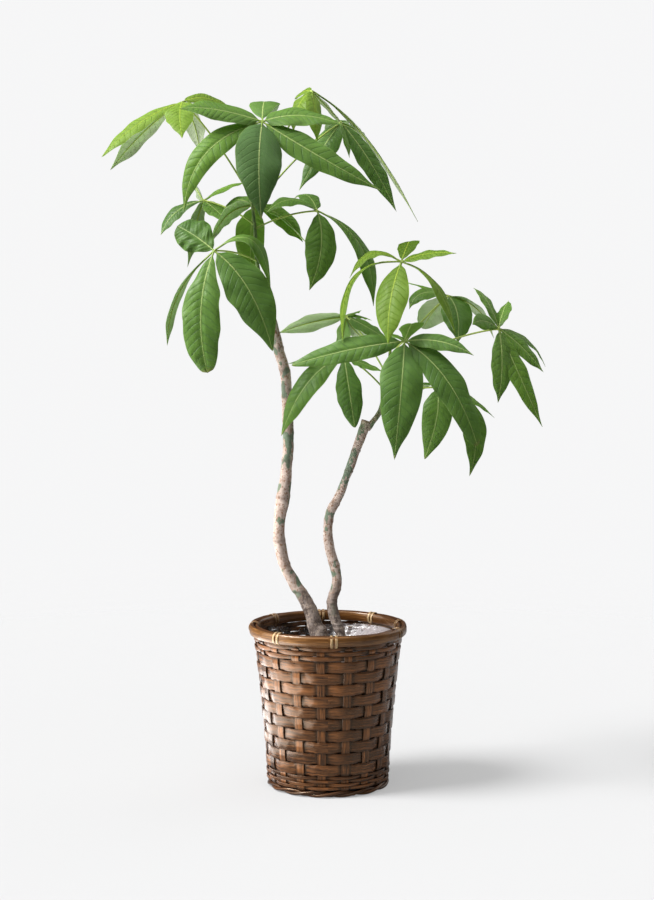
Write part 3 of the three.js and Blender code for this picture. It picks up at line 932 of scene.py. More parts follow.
@dataclass
class Stake:
    """An upright strip that rises from the mat and tucks in between the hoops."""

    wall: Wall
    bearing: float
    index: int
    tone: float
    rows_z: tuple[float, ...]
    width: float = 0.016
    thickness: float = 0.0015
    pared_width: float = 0.006
    pared_z: float = 0.284
    taper: float = 0.004
    top_z: float = 0.306
    bend_z: float = 0.0145
    foot_bend: tuple[Pair, ...] = (
        (0.104, 0.0016), (0.1075, 0.0016), (0.1090, 0.0045), (0.1098, 0.0105))
    length: float = 0.32
    reach: float = 0.0010
    tucked_shade: Pair = (-0.4, 0.2)
    columns: int = 220
    sides: int = 12

    def spine(self, share: Array) -> tuple[Array, Array, Array]:
        """The strip's line in its own upright plane.

        Args:
            share: how far along, from the mat to the tip.

        Returns:
            Radius, height and width.
        """
        corners = np.array([*self.foot_bend, (float(self.wall.radius(self.bend_z)), self.bend_z)])
        levels = np.linspace(self.bend_z + self.taper, self.top_z, 60)
        rim = float(self.wall.radius(self.pared_z + self.taper))
        radii = np.minimum(self.wall.radius(levels), rim)
        path = np.vstack([corners, np.stack([radii, levels], axis=1)])
        run = np.concatenate([[0], np.cumsum(np.linalg.norm(np.diff(path, axis=0), axis=1))])
        at = share * run[-1]
        radius, z = np.interp(at, run, path[:, 0]), np.interp(at, run, path[:, 1])
        narrow = smooth_step(z, self.pared_z, self.pared_z + self.taper)
        return radius, z, self.width + (self.pared_width - self.width) * narrow

    def weave(self, z: Array) -> Array:
        """How far the stake bows out (1) or in (-1) at a height, against the rows it passes."""
        signs = [-1 if (self.index + row) % 2 == 0 else 1 for row in range(len(self.rows_z))]
        return np.interp(z, self.rows_z, signs, left=0, right=0)

    def build(self) -> None:
        """Shapes the stake."""
        section = Section(1.0, self.thickness, 5.0, 0.0003)
        nudge = 0.004  # share of the length over which the strip's slope is measured

        def place(along: Array, round_it: Array) -> Array:
            """Puts the strip on its line.

            Args:
                along: shares along the grid.
                round_it: shares across it.

            Returns:
                The places.
            """
            radius, z, width = self.spine(along)
            ahead, above, _ = self.spine(np.clip(along + nudge, 0, 1))
            behind, below, _ = self.spine(np.clip(along - nudge, 0, 1))
            run = np.hypot(ahead - behind, above - below)
            out_r, out_z = (above - below) / run, -(ahead - behind) / run
            across, out = section.at(round_it)
            out = out + self.reach * self.weave(z)
            middle = around(np.full(len(z), self.bearing), radius + out * out_r, z + out * out_z)
            a = math.radians(self.bearing)
            return middle + (across * width)[:, None] * np.array([math.cos(a), math.sin(a), 0.0])

        name = f"stake_{self.index + 1:02d}"
        piece = Workshop.grid(name, self.columns, self.sides, place, (self.length, 2 * self.width))
        along, round_it = Workshop.shares(self.columns, self.sides)
        # Where the stake passes behind a row, which the finish paints as shade.
        tucked_shade = smooth_step(-self.weave(self.spine(along)[1]), *self.tucked_shade)
        Workshop.mark(piece, section.edge(round_it), self.tone, tucked_shade)
        Workshop.seal(piece, ends=True)
        Workshop.dress(piece, Finish.STRIP)
        Workshop.hand_over(piece, "split_strip", "basket_base_and_stakes")


@dataclass
class BaseMat:
    """The square-woven mat under the basket."""

    radius: float = 0.1095
    strip_width: float = 0.0195
    pitch: float = 0.0208
    thickness: float = 0.0012
    middle_z: float = 0.0017
    lift: float = 0.00075
    strips: int = 11
    tones: tuple[float, ...] = (0.06, 0.12, 0.18, 0.24, 0.30)
    columns: int = 88
    sides: int = 10

    def build(self) -> None:
        """Weaves the mat."""
        parts = [self._strip(i, turned) for turned in (False, True) for i in range(self.strips)]
        mat = Workshop.joined("base_mat", parts)
        Workshop.dress(mat, Finish.STRIP)
        Workshop.hand_over(mat, "split_strip", "basket_base_and_stakes")

    def _strip(self, index: int, turned: bool) -> Piece:
        """Lays one strip of the mat.

        Args:
            index: its number from the mat's edge.
            turned: False along X, True along Y.

        Returns:
            The strip.
        """
        aside = (index - (self.strips - 1) / 2) * self.pitch
        half = math.sqrt(self.radius**2 - (abs(aside) - 0.001) ** 2)
        section = Section(self.strip_width, self.thickness, 5.0)
        sign = 1 if (index + turned) % 2 else -1

        def place(along: Array, round_it: Array) -> Array:
            """Lays the strip over and under the crossing ones.

            Args:
                along: shares along the grid.
                round_it: shares across it.

            Returns:
                The places.
            """
            run = (2 * along - 1) * half
            across, out = section.at(round_it)
            reach = self.radius**2 - (aside + across) ** 2
            run = np.clip(run, -np.sqrt(np.clip(reach, 1e-6, None)), np.sqrt(np.clip(reach, 1e-6, None)))
            wave = np.cos(math.pi * (run / self.pitch + (self.strips - 1) / 2))
            z = self.middle_z + sign * self.lift * wave + out
            spots = (aside + across, run) if turned else (run, aside + across)
            return np.stack([*spots, z], axis=1)

        size = (2 * half, section.girth())
        piece = Workshop.grid(f"mat_strip_{index}", self.columns, self.sides, place, size)
        tone = self.tones[(index * 7 + turned * 3) % len(self.tones)]
        Workshop.mark(piece, section.edge(Workshop.shares(self.columns, self.sides)[1]), tone, 0.0)
        return Workshop.seal(piece, ends=True)


@dataclass
class Hoop:
    """A half-round cane hoop of the rim; a negative thickness bulges inward."""

    name: str
    base_radius: float
    thickness: float
    height: float
    seed: int
    tone: float
    mid_z: float = 0.300
    bulge_share: float = 0.72
    fullness: float = 0.36
    columns: int = 260
    sides: int = 20

    def build(self) -> None:
        """Bends the hoop."""
        def place(along: Array, round_it: Array) -> Array:
            """Half of the section is the bulge, the rest the flat back.

            Args:
                along: shares along the grid.
                round_it: shares across it.

            Returns:
                The places.
            """
            bearing = along * 360
            bulging = round_it <= self.bulge_share
            a = math.pi * (np.clip(round_it / self.bulge_share, 0, 1) - 0.5)
            back = np.clip((round_it - self.bulge_share) / (1 - self.bulge_share), 0, 1)
            rise = np.where(bulging, np.sin(a), 1 - 2 * back)
            out = np.where(bulging, np.cos(a) ** self.fullness, 0)
            loop = around(bearing, 1.0, 0.0)
            wobble = ripples(loop, 0.9, self.seed) * 0.0005
            girth = 1 + ripples(loop, 0.35, self.seed + 5) * 0.02
            bulge = self.thickness * out * girth
            radius = self.base_radius + bulge + wobble * np.sign(self.thickness) * out
            return around(bearing, radius, self.mid_z + rise * girth * self.height / 2 + wobble)

        size = (2 * math.pi * self.base_radius, 2.6 * self.height)
        piece = Workshop.grid(self.name, self.columns, self.sides, place, size)
        _, round_it = Workshop.shares(self.columns, self.sides)
        edge = np.where(round_it <= self.bulge_share, np.abs(2 * round_it / self.bulge_share - 1), 1)
        Workshop.mark(piece, edge * 0.7, self.tone - 0.7 * smooth_step(edge, 0.62, 0.95), 0.0)
        Workshop.seal(piece, ends=False)
        Workshop.dress(piece, Finish.HOOP)
        Workshop.hand_over(piece, "rim_cane", self.name, angle=55.0)


@dataclass
class FootRods:
    """Two canes twisted round each other along the basket's foot."""

    ring_radius: float = 0.1122
    ring_z: float = 0.0064
    rod_radius: float = 0.0031
    twist_radius: float = 0.0031
    flatness: float = 0.75
    turns: int = 7
    columns: int = 440
    sides: int = 10

    def build(self) -> None:
        """Twists both rods."""
        self._rod("foot_rod_lower", start=0.0, tone=0.20)
        self._rod("foot_rod_upper", start=0.5, tone=0.02)

    def _rod(self, name: str, start: float, tone: float) -> None:
        """Winds one rod.

        Args:
            name: the rod's name.
            start: where its twist starts, as a share of a turn.
            tone: how light it is; both rods are given low tones.
        """
        def place(along: Array, round_it: Array) -> Array:
            """Winds the rod round the ring's line.

            Args:
                along: shares along the grid.
                round_it: shares across it.

            Returns:
                The places.
            """
            twist = 2 * math.pi * (self.turns * along + start)
            a = 2 * math.pi * round_it
            out = self.twist_radius * np.cos(twist) * self.flatness + self.rod_radius * np.cos(a)
            up = self.twist_radius * np.sin(twist) + self.rod_radius * np.sin(a)
            return around(along * 360, self.ring_radius + out, np.maximum(self.ring_z + up, 0.0))

        size = (2 * math.pi * self.ring_radius, 2 * math.pi * self.rod_radius)
        piece = Workshop.grid(name, self.columns, self.sides, place, size)
        Workshop.mark(piece, 0.3, tone, 0.0)
        Workshop.seal(piece, ends=False)
        Workshop.dress(piece, Finish.CANE)
        Workshop.hand_over(piece, "thin_cane", name, angle=60.0)


@dataclass
class Binding:
    """A pale cane wound twice round both hoops, crossing itself on the inside."""

    name: str
    bearing: float
    tone: float
    width: float = 0.0050
    thickness: float = 0.0012
    spread: float = 1.65
    middle: Pair = (0.14075, 0.300)
    half_size: Pair = (0.0106, 0.0114)
    start: float = 0.68
    step_share: float = 0.12
    length: float = 0.14
    columns: int = 96
    sides: int = 10

    def build(self) -> None:
        """Winds the cane."""
        section = Section(self.width, self.thickness, 4.0, 0.0002)

        def place(along: Array, round_it: Array) -> Array:
            """Two turns as one closed line that steps aside on the inside of the rim.

            Args:
                along: shares along the grid.
                round_it: shares across it.

            Returns:
                The places.
            """
            turn = 2 * math.pi * (2 * along + self.start)
            across, out = section.at(round_it)
            side = np.where(along < 0.5, -1.0, 1.0)
            lap = (2 * along) % 1.0
            crossing = smooth_step(lap, 0.0, self.step_share) - smooth_step(lap, 1 - self.step_share, 1.0)
            side = side * crossing
            over = np.where(along < 0.5, 0.0, self.thickness * 0.9) * (1 - np.clip(crossing, 0, 1))
            r = self.middle[0] + (self.half_size[0] + out + over) * np.cos(turn)
            z = self.middle[1] + (self.half_size[1] + out + over) * np.sin(turn)
            a = np.radians(self.bearing + side * self.spread)
            point = np.stack([r * np.sin(a), -r * np.cos(a), z], axis=1)
            return point + across[:, None] * np.stack([np.cos(a), np.sin(a), np.zeros(len(a))], axis=1)

        piece = Workshop.grid(self.name, self.columns, self.sides, place, (self.length, section.girth()))
        Workshop.mark(piece, section.edge(Workshop.shares(self.columns, self.sides)[1]), self.tone, 0.0)
        Workshop.seal(piece, ends=False)
        Workshop.dress(piece, Finish.BINDING)
        Workshop.hand_over(piece, "binding_cane", self.name, angle=55.0)


@dataclass
class Basket:
    """The whole woven basket."""

    wall: Wall = field(default_factory=Wall)
    strip_rows: int = 10
    strip_first_z: float = 0.0519
    strip_pitch: float = 0.02205
    strip: Section = Section(0.0214, 0.0014, 6.0, 0.0009)
    upper_rows: int = 3
    upper_first_z: float = 0.2668
    upper_pitch: float = 0.0092
    upper: Section = Section(0.0090, 0.0024, 2.4)
    lower_rows: int = 4
    lower_first_z: float = 0.0176
    lower_pitch: float = 0.0066
    lower: Section = Section(0.0062, 0.0022, 2.6)
    bindings: tuple[Pair, ...] = (
        (-40.7, 0.75), (4.3, 0.62), (65.8, 0.16), (101.5, 0.20),
        (141.5, 0.66), (185.5, 0.30), (229.5, 0.18), (266.0, 0.12),
    )

    def levels(self) -> list[float]:
        """The heights of all rows.

        Returns:
            Heights in metres, from the foot up.
        """
        rows = [self.lower_first_z + self.lower_pitch * i for i in range(self.lower_rows)]
        rows += [self.strip_first_z + self.strip_pitch * i for i in range(self.strip_rows)]
        return rows + [self.upper_first_z + self.upper_pitch * i for i in range(self.upper_rows)]

    def build(self) -> None:
        """Builds every piece of the basket."""
        draw = random.Random(11)
        BaseMat().build()
        self._stakes(draw)
        self._rows(draw)
        FootRods().build()
        Hoop("rim_hoop_outer", 0.1411, thickness=0.0088, height=0.020, seed=3, tone=0.42).build()
        # The inner hoop's low tone darkens it against the outer one: painted shade on the rim's inside.
        Hoop("rim_hoop_inner", 0.1382, thickness=-0.0066, height=0.019, seed=8, tone=0.12).build()
        for i, (bearing, tone) in enumerate(self.bindings):
            Binding(f"rim_binding_{i + 1}", bearing, tone).build()

    def _stakes(self, draw: random.Random) -> None:
        """Builds the stakes, each passing the rows on alternate sides.

        Args:
            draw: gives each its tone.
        """
        levels = tuple(self.levels())
        for i, bearing in enumerate(self.wall.stakes):
            Stake(self.wall, bearing, i, draw.uniform(0.1, 0.75), levels).build()

    def _rows(self, draw: random.Random) -> None:
        """Weaves every row, each starting on the other side from the one below.

        Args:
            draw: gives each its tone.
        """
        groups = (
            ("lower_cane_row", self.lower_rows, self.lower, Finish.CANE, "thin_cane"),
            ("weaver_strip", self.strip_rows, self.strip, Finish.STRIP, "split_strip"),
            ("upper_cane_row", self.upper_rows, self.upper, Finish.CANE, "thin_cane"),
        )
        levels = iter(enumerate(self.levels(), 1))
        for prefix, count, section, finish, slot in groups:
            for i in range(count):
                phase, z = next(levels)
                name, tone = f"{prefix}_{i + 1:02d}", draw.uniform(0.2, 0.7)
                WovenRow(self.wall, name, z, section, phase, finish, slot, tone, 20 + phase).build()


# ---------------------------------------------------------------- what the basket holds


@dataclass
class Liner:
    """The clear film between the basket and the pot, pleated and crumpled towards its edge."""

    wall: Wall
    floor_z: float = 0.0040
    foot_radius: float = 0.104
    top_z: float = 0.285
    gap: float = 0.0045
    thickness: float = 0.00025
    floor_share: float = 0.22
    length: float = 0.39
    bunch_bearing: float = 112.0
    bunch_spread: Pair = (25.0, 88.0)
    bunch_climb: Pair = (0.70, 0.96)
    columns: int = 420
    rows: int = 110

    def bunched(self, bearing: Array, climb: Array) -> Array:
        """How far the film is gathered up: most of all at the top, round the viewer's right."""
        away = np.abs((bearing - self.bunch_bearing + 180) % 360 - 180)
        return (1 - smooth_step(away, *self.bunch_spread)) * smooth_step(climb, *self.bunch_climb)

    def climb(self, up: Array) -> Array:
        """How far up the wall a share of the film's length is."""
        return np.clip((up - self.floor_share) / (1 - self.floor_share), 0, 1)

    def build(self) -> None:
        def place(along: Array, up: Array) -> Array:
            """Floor first, then the wall, crumpling more the higher it is.

            Args:
                along: shares along the grid.
                up: shares across it.

            Returns:
                The places.
            """
            bearing, climb = along * 360, self.climb(up)
            below_edge = 1 - climb
            bunch = self.bunched(bearing, climb)
            loop = around(bearing, 1.0, 0.0)
            rim = ripples(loop, 0.55, 71) * 0.004 + ripples(loop, 0.11, 72) * 0.0022
            z = self.floor_z + climb * (self.top_z - self.floor_z + rim * (1 - bunch) + 0.002 * bunch)
            rise = smooth_step(climb, 0.0, 0.06)
            wall = self.foot_radius * (1 - rise) + (self.wall.radius(z) - self.gap) * rise
            floor = self.foot_radius * np.clip(up / self.floor_share, 0, 1)
            radius = np.where(up < self.floor_share, floor, wall)
            spots = around(bearing, radius, z)
            pleats = np.abs(ripples(spots * np.array([1, 1, 0.25]), 0.030, 73)) ** 1.6 * 0.0040
            folds = np.abs(ripples(spots * np.array([1, 1, 0.8]), 0.013, 74)) ** 1.5 * 0.0018
            broad = ripples(spots * np.array([1, 1, 0.8]), 0.055, 75) * 0.028 * below_edge
            slump = smooth_step(below_edge, 0.0, 0.11) * (1 - smooth_step(below_edge, 0.16, 0.30)) * 0.026
            crumpled = (pleats + folds) * smooth_step(climb, 0.05, 0.85) * (1 - 0.8 * bunch)
            return around(bearing, radius - crumpled - bunch * (slump + broad), z)

        girth = 2 * math.pi * float(self.wall.radius(self.top_z))
        piece = Workshop.grid("liner_film", self.columns, self.rows, place, (girth, self.length))
        along, up = Workshop.shares(self.columns, self.rows)
        Workshop.mark(piece, self.bunched(along * 360, self.climb(up)), 0.0, 0.0)
        Workshop.seal(piece, ends=False)
        Workshop.modify(piece, "SOLIDIFY", thickness=self.thickness, offset=0.0)
        Workshop.dress(piece, Finish.FILM)
        Workshop.hand_over(piece, "clear_film", "liner_film", angle=75.0)


@dataclass
class GrowerPot:
    """The plain pot that stands in the liner."""

    floor_radius: float = 0.088
    top_radius: float = 0.114
    bottom_z: float = 0.0046
    top_z: float = 0.236
    wall: float = 0.0018
    lip: float = 0.0035
    lip_height: float = 0.014
    lip_inset: float = 0.0015
    bevel: float = 0.0007
    sides: int = 96

    def build(self) -> None:
        """Makes the pot from a cone: lipped, then hollowed."""
        Workshop.clear()
        height, lip_z = self.top_z - self.bottom_z, self.top_z - self.lip_height
        bpy.ops.mesh.primitive_cone_add(
            vertices=self.sides, radius1=self.floor_radius, radius2=self.top_radius - self.lip_inset,
            depth=height, location=(0, 0, self.bottom_z + height / 2), end_fill_type="NGON")
        pot = bpy.context.object
        pot.name = "grower_pot"
        bpy.ops.object.mode_set(mode="EDIT")
        bpy.ops.mesh.select_all(action="SELECT")
        bpy.ops.mesh.bisect(plane_co=(0, 0, lip_z), plane_no=(0, 0, 1))
        bpy.ops.mesh.select_all(action="DESELECT")
        bpy.ops.object.mode_set(mode="OBJECT")
        self._choose(pot, lambda middle, normal: abs(normal.z) < 0.5 and middle.z > lip_z)
        bpy.ops.object.mode_set(mode="EDIT")
        bpy.ops.mesh.extrude_region_shrink_fatten(TRANSFORM_OT_shrink_fatten={"value": self.lip})
        bpy.ops.object.mode_set(mode="OBJECT")
        self._choose(pot, lambda middle, normal: normal.z > 0.9 and middle.z > self.top_z - 0.001)
        bpy.ops.object.mode_set(mode="EDIT")
        bpy.ops.mesh.dissolve_faces()
        bpy.ops.mesh.inset(thickness=self.lip + self.wall, depth=0)
        shrink = (self.floor_radius - self.wall) / (self.top_radius - self.wall)
        bpy.ops.mesh.extrude_region_move(TRANSFORM_OT_translate={"value": (0, 0, self.wall - height)})
        bpy.ops.transform.resize(value=(shrink, shrink, 1), center_override=(0, 0, self.bottom_z))
        bpy.ops.mesh.select_all(action="SELECT")
        bpy.ops.mesh.normals_make_consistent(inside=False)
        bpy.ops.object.mode_set(mode="OBJECT")
        bpy.ops.object.transform_apply(location=True, rotation=True, scale=True)
        Workshop.modify(pot, "BEVEL", width=self.bevel, segments=2, limit_method="ANGLE")
        Workshop.dress(pot, Finish.POT)
        Workshop.hand_over(pot, "pot_plastic", "grower_pot", angle=35.0)

    @staticmethod
    def _choose(piece: Piece, wanted: Callable[[Vector, Vector], bool]) -> None:
        """Selects faces by their place.

        Args:
            piece: the piece, out of edit mode.
            wanted: tells from a face's middle and normal whether it is selected.
        """
        for part in (piece.data.vertices, piece.data.edges):
            for element in part:
                element.select = False
        matrix = piece.matrix_world
        for face in piece.data.polygons:
            face.select = wanted(matrix @ face.center, face.normal)


@dataclass
class Soil:
    """Soil mounded round the trunks, with loose crumbs on top."""

    radius: float = 0.1100
    floor_radius: float = 0.0865
    floor_z: float = 0.0068
    top_z: float = 0.2205
    mound: float = 0.005
    side_share: float = 0.15
    crumbs: int = 240
    crumb_sizes: Pair = (0.0012, 0.0042)
    columns: int = 160
    rows: int = 60

    def surface(self, x: Array, y: Array) -> Array:
        """The soil's upper surface.

        Args:
            x: metres to the viewer's right of the basket's axis.
            y: metres behind it.

        Returns:
            The heights there.
        """
        spots = np.stack([x, y, np.zeros_like(x)], axis=1)
        away = np.hypot(x, y) / self.radius
        lumps = ripples(spots, 0.034, 91) * 0.0016 + ripples(spots, 0.009, 92) * 0.0010
        return self.top_z + self.mound * (1 - away**2) + lumps

    def build(self) -> None:
        """Shapes the soil and scatters its crumbs."""
        def place(along: Array, up: Array) -> Array:
            """Across the floor, up the side and over the top to the middle.

            Args:
                along: shares along the grid.
                up: shares across it.

            Returns:
                The places.
            """
            bearing, rim = along * 360, 2 * self.side_share
            floor = self.floor_radius * np.clip(up / self.side_share, 0, 1)
            side = np.clip(up / self.side_share - 1, 0, 1)
            over = self.radius * (1 - np.clip((up - rim) / (1 - rim), 0, 1))
            flank = floor + (self.radius - self.floor_radius) * side
            radius = np.where(up > rim, over, flank)
            spots = around(bearing, radius, 0.0)
            top = self.surface(spots[:, 0], spots[:, 1])
            return around(bearing, radius, self.floor_z + (top - self.floor_z) * side)

        soil = Workshop.grid("soil", self.columns, self.rows, place, (0.7, 0.4))
        Workshop.seal(soil, ends=False)
        soil = Workshop.joined("soil", [soil, self._scatter()])
        Workshop.dress(soil, Finish.SOIL)
        Workshop.hand_over(soil, "potting_soil", "soil", angle=60.0)

    def _scatter(self) -> Piece:
        """Scatters crumbs and bark chips, pressed into the top.

        Returns:
            All of them as one piece.
        """
        draw = random.Random(5)
        Workshop.clear()
        bpy.ops.mesh.primitive_ico_sphere_add(subdivisions=1, radius=1.0)
        model = bpy.context.object
        crumbs = []
        for _ in range(self.crumbs):
            crumb = model.copy()
            crumb.data = model.data.copy()
            bpy.context.collection.objects.link(crumb)
            away, turn = self.radius * 0.95 * math.sqrt(draw.random()), draw.uniform(0, 2 * math.pi)
            x, y = away * math.cos(turn), away * math.sin(turn)
            z = float(self.surface(np.array([x]), np.array([y]))[0])
            size = draw.uniform(*self.crumb_sizes)
            crumb.location = (x, y, z + size * 0.25)
            crumb.rotation_euler = [draw.uniform(0, math.pi) for _ in range(3)]
            crumb.scale = (size, size * draw.uniform(0.4, 1.0), size * draw.uniform(0.3, 0.7))
            crumbs.append(crumb)
        bpy.data.objects.remove(model)
        pile = Workshop.joined("crumbs", crumbs)
        bpy.ops.object.transform_apply(location=True, rotation=True, scale=True)
        return pile


# ---------------------------------------------------------------- stems


class Stem(Enum):
    """Which stem a leaf grows on."""

    LEFT = "left"
    RIGHT = "right"


Station = tuple[float, float, float, float]

# Stems from the bottom up: x, y, z and radius.
TRUNK_LEFT: tuple[Station, ...] = (
    (-0.002, 0.004, 0.150, 0.0110),
    (-0.005, 0.003, 0.195, 0.0180),
    (-0.008, 0.002, 0.230, 0.0195),
    (-0.012, 0.000, 0.260, 0.0185),
    (-0.017, 0.000, 0.287, 0.0175),
    (-0.025, 0.002, 0.306, 0.0148),
    (-0.032, 0.004, 0.330, 0.0132),
    (-0.046, 0.007, 0.357, 0.0122),
    (-0.065, 0.008, 0.387, 0.0113),
    (-0.081, 0.004, 0.418, 0.0108),
    (-0.090, 0.000, 0.452, 0.0114),
    (-0.093, -0.005, 0.480, 0.0108),
    (-0.090, -0.010, 0.522, 0.0116),
    (-0.085, -0.013, 0.553, 0.0130),
    (-0.079, -0.011, 0.599, 0.0108),
    (-0.075, -0.006, 0.650, 0.0102),
    (-0.076, -0.002, 0.700, 0.0104),
    (-0.080, 0.000, 0.781, 0.0098),
    (-0.092, 0.000, 0.828, 0.0100),
    (-0.102, 0.000, 0.872, 0.0090),
    (-0.116, 0.000, 0.927, 0.0054),
    (-0.130, 0.000, 0.976, 0.0040),
    (-0.135, 0.000, 1.017, 0.0035),
    (-0.137, 0.000, 1.058, 0.0031),
    (-0.142, 0.000, 1.099, 0.0027),
    (-0.147, 0.000, 1.122, 0.0022),
)
TRUNK_RIGHT: tuple[Station, ...] = (
    (0.038, -0.004, 0.165, 0.0070),
    (0.037, -0.003, 0.205, 0.0095),
    (0.034, -0.002, 0.245, 0.0100),
    (0.024, 0.000, 0.287, 0.0092),
    (0.018, 0.002, 0.304, 0.0098),
    (0.011, 0.005, 0.325, 0.0106),
    (0.007, 0.007, 0.350, 0.0103),
    (0.013, 0.009, 0.371, 0.0098),
    (0.017, 0.010, 0.392, 0.0092),
    (0.013, 0.012, 0.418, 0.0100),
    (0.004, 0.014, 0.448, 0.0096),
    (0.000, 0.014, 0.480, 0.0090),
    (0.003, 0.012, 0.517, 0.0087),
    (0.014, 0.010, 0.540, 0.0090),
    (0.028, 0.007, 0.570, 0.0078),
    (0.039, 0.004, 0.600, 0.0076),
    (0.055, 0.002, 0.645, 0.0088),
    (0.072, 0.000, 0.696, 0.0096),
)
SHOOT_RIGHT: tuple[Station, ...] = (
    (0.074, 0.000, 0.680, 0.0055),
    (0.084, 0.000, 0.694, 0.0056),
    (0.093, 0.000, 0.706, 0.0052),
    (0.101, 0.000, 0.722, 0.0047),
    (0.109, 0.000, 0.764, 0.0039),
    (0.115, 0.000, 0.807, 0.0033),
    (0.117, 0.000, 0.830, 0.0026),
)


def smooth_path(stations: Sequence[Station], count: int) -> Array:
    """Evenly spaced stations on a smooth curve through the given ones.

    Args:
        stations: rows of x, y, z and radius.
        count: how many to return.

    Returns:
        The new rows.
    """
    rows = np.array(stations)
    rows = np.vstack([2 * rows[0] - rows[1], rows, 2 * rows[-1] - rows[-2]])
    made = []
    for i in range(1, len(rows) - 2):
        t = np.linspace(0, 1, 24, endpoint=False)[:, None]
        a, b, c, d = rows[i - 1:i + 3]
        made.append(0.5 * (2 * b + (c - a) * t + (2 * a - 5 * b + 4 * c - d) * t**2
                           + (3 * b - a - 3 * c + d) * t**3))
    line = np.vstack([*made, rows[-2]])
    run = np.concatenate([[0], np.cumsum(np.linalg.norm(np.diff(line[:, :3], axis=0), axis=1))])
    at = np.linspace(0, run[-1], count)
    return np.stack([np.interp(at, run, line[:, k]) for k in range(4)], axis=1)


def arch(start: Array, bend: Array, end: Array, count: int) -> Array:
    """A line that arches from its start to its end.

    Args:
        start: the first place.
        bend: the place that the line is drawn towards halfway.
        end: the last place.
        count: how many places are wanted.

    Returns:
        The places, one row each.
    """
    t = np.linspace(0, 1, count)[:, None]
    return (1 - t) ** 2 * start + 2 * t * (1 - t) * bend + t**2 * end


def length_of(line: Array) -> float:
    """Metres along a line of places."""
    return float(np.linalg.norm(np.diff(line, axis=0), axis=1).sum())


def directions(line: Array) -> tuple[Array, Array, Array]:
    """Unit vectors along a line and across it, turning as little as they can.

    Args:
        line: places, one row each.

    Returns:
        Along, upward-most, and sideways.
    """
    run = np.gradient(line, axis=0)
    run /= np.linalg.norm(run, axis=1, keepdims=True)
    face = np.array([0.0, 0.0, 1.0])
    if abs(run[0, 2]) > 0.98:
        face = np.array([0.0, -1.0, 0.0])
    faces = []
    for way in run:
        face = face - (face @ way) * way
        face = face / np.linalg.norm(face)
        faces.append(face)
    upward = np.array(faces)
    return run, upward, np.cross(run, upward)


def tube(name: str, rows: Array, sides: int, swell: Swell | None = None) -> Piece:
    """A closed round tube.

    Args:
        name: the piece's name.
        rows: stations of x, y, z and radius.
        sides: faces round it.
        swell: adds to the radius.

    Returns:
        The piece, with its map set and no marks yet.
    """
    _, upward, sideways = directions(rows[:, :3])

    def place(along: Array, round_it: Array) -> Array:
        """Puts each vertex round its station.

        Args:
            along: shares along the grid.
            round_it: shares across it.

        Returns:
            The places.
        """
        i = np.rint(along * (len(rows) - 1)).astype(int)
        a = (2 * math.pi * round_it)[:, None]
        out = upward[i] * np.cos(a) + sideways[i] * np.sin(a)
        radius = rows[i, 3]
        if swell is not None:
            radius = radius + swell(rows[i, :3] + out * radius[:, None], i)
        return rows[i, :3] + out * radius[:, None]

    size = (length_of(rows[:, :3]), 2 * math.pi * float(rows[:, 3].mean()))
    return Workshop.grid(name, len(rows) - 1, sides, place, size)


@dataclass
class Trunk:
    """A woody stem with rings, scars and flaky bark."""

    name: str
    stations: tuple[Station, ...]
    finish: Finish
    seed: int
    knots: tuple[float, ...]
    knot_size: float = 0.0009
    knot_reach: float = 0.0035
    cut_top: bool = False
    rings: int = 460
    sides: int = 30
    shoot: tuple[Station, ...] = ()
    shoot_rings: int = 120
    shoot_sides: int = 18

    def build(self) -> None:
        """Grows the trunk and, where it has one, its side shoot."""
        rows = smooth_path(self.stations, self.rings)
        parts = [self._limb(f"{self.name}_limb", rows, self.sides, self.cut_top)]
        if self.shoot:
            rows = smooth_path(self.shoot, self.shoot_rings)
            parts.append(self._limb(f"{self.name}_shoot", rows, self.shoot_sides, False))
        trunk = Workshop.joined(self.name, parts)
        Workshop.dress(trunk, self.finish)
        Workshop.hand_over(trunk, "bark", self.name, angle=60.0)

    def _ringed(self, z: Array) -> Array:
        """How much of a knot there is at each height, from 0 to 1."""
        return sum(np.exp(-(((z - knot) / self.knot_reach) ** 2)) for knot in self.knots)

    def _limb(self, name: str, rows: Array, sides: int, cut: bool) -> Piece:
        """One stem with its bark worked into the mesh.

        Args:
            name: the stem's name.
            rows: its stations of x, y, z and radius.
            sides: faces round it.
            cut: whether its top is sawn off.

        Returns:
            The stem.
        """
        rough = smooth_step(rows[:, 3], 0.0028, 0.0075)

        def swell(spots: Array, i: Array) -> Array:
            """Bulges at knots and scales of bark.

            Args:
                spots: places on the smooth stem.
                i: their stations' numbers.

            Returns:
                Metres added to the radius.
            """
            knots = self._ringed(spots[:, 2] + ripples(spots, 0.05, self.seed) * 0.003)
            lumps = ripples(spots * np.array([1, 1, 0.5]), 0.024, self.seed + 1) * 0.00055
            scales = np.abs(ripples(spots * np.array([1, 1, 0.6]), 0.0075, self.seed + 2)) * 0.00035
            return (knots * self.knot_size + lumps - scales) * rough[i]

        limb = tube(name, rows, sides, swell)
        index = np.tile(np.arange(len(rows)), sides + 1)
        z = rows[index, 2]
        spots = np.empty(len(limb.data.vertices) * 3)
        limb.data.vertices.foreach_get("co", spots)
        spots = spots.reshape(-1, 3)
        scar = np.clip(ripples(spots, 0.04, self.seed + 9), 0, 1) ** 2
        knot = np.clip(self._ringed(z) * 0.55 + scar * 0.35, 0, 1) * rough[index]
        sawn = (index >= len(rows) - 2) * float(cut)
        Workshop.mark(limb, knot, sawn, 0.0)
        return Workshop.seal(limb, ends=True)


# ---------------------------------------------------------------- leaves


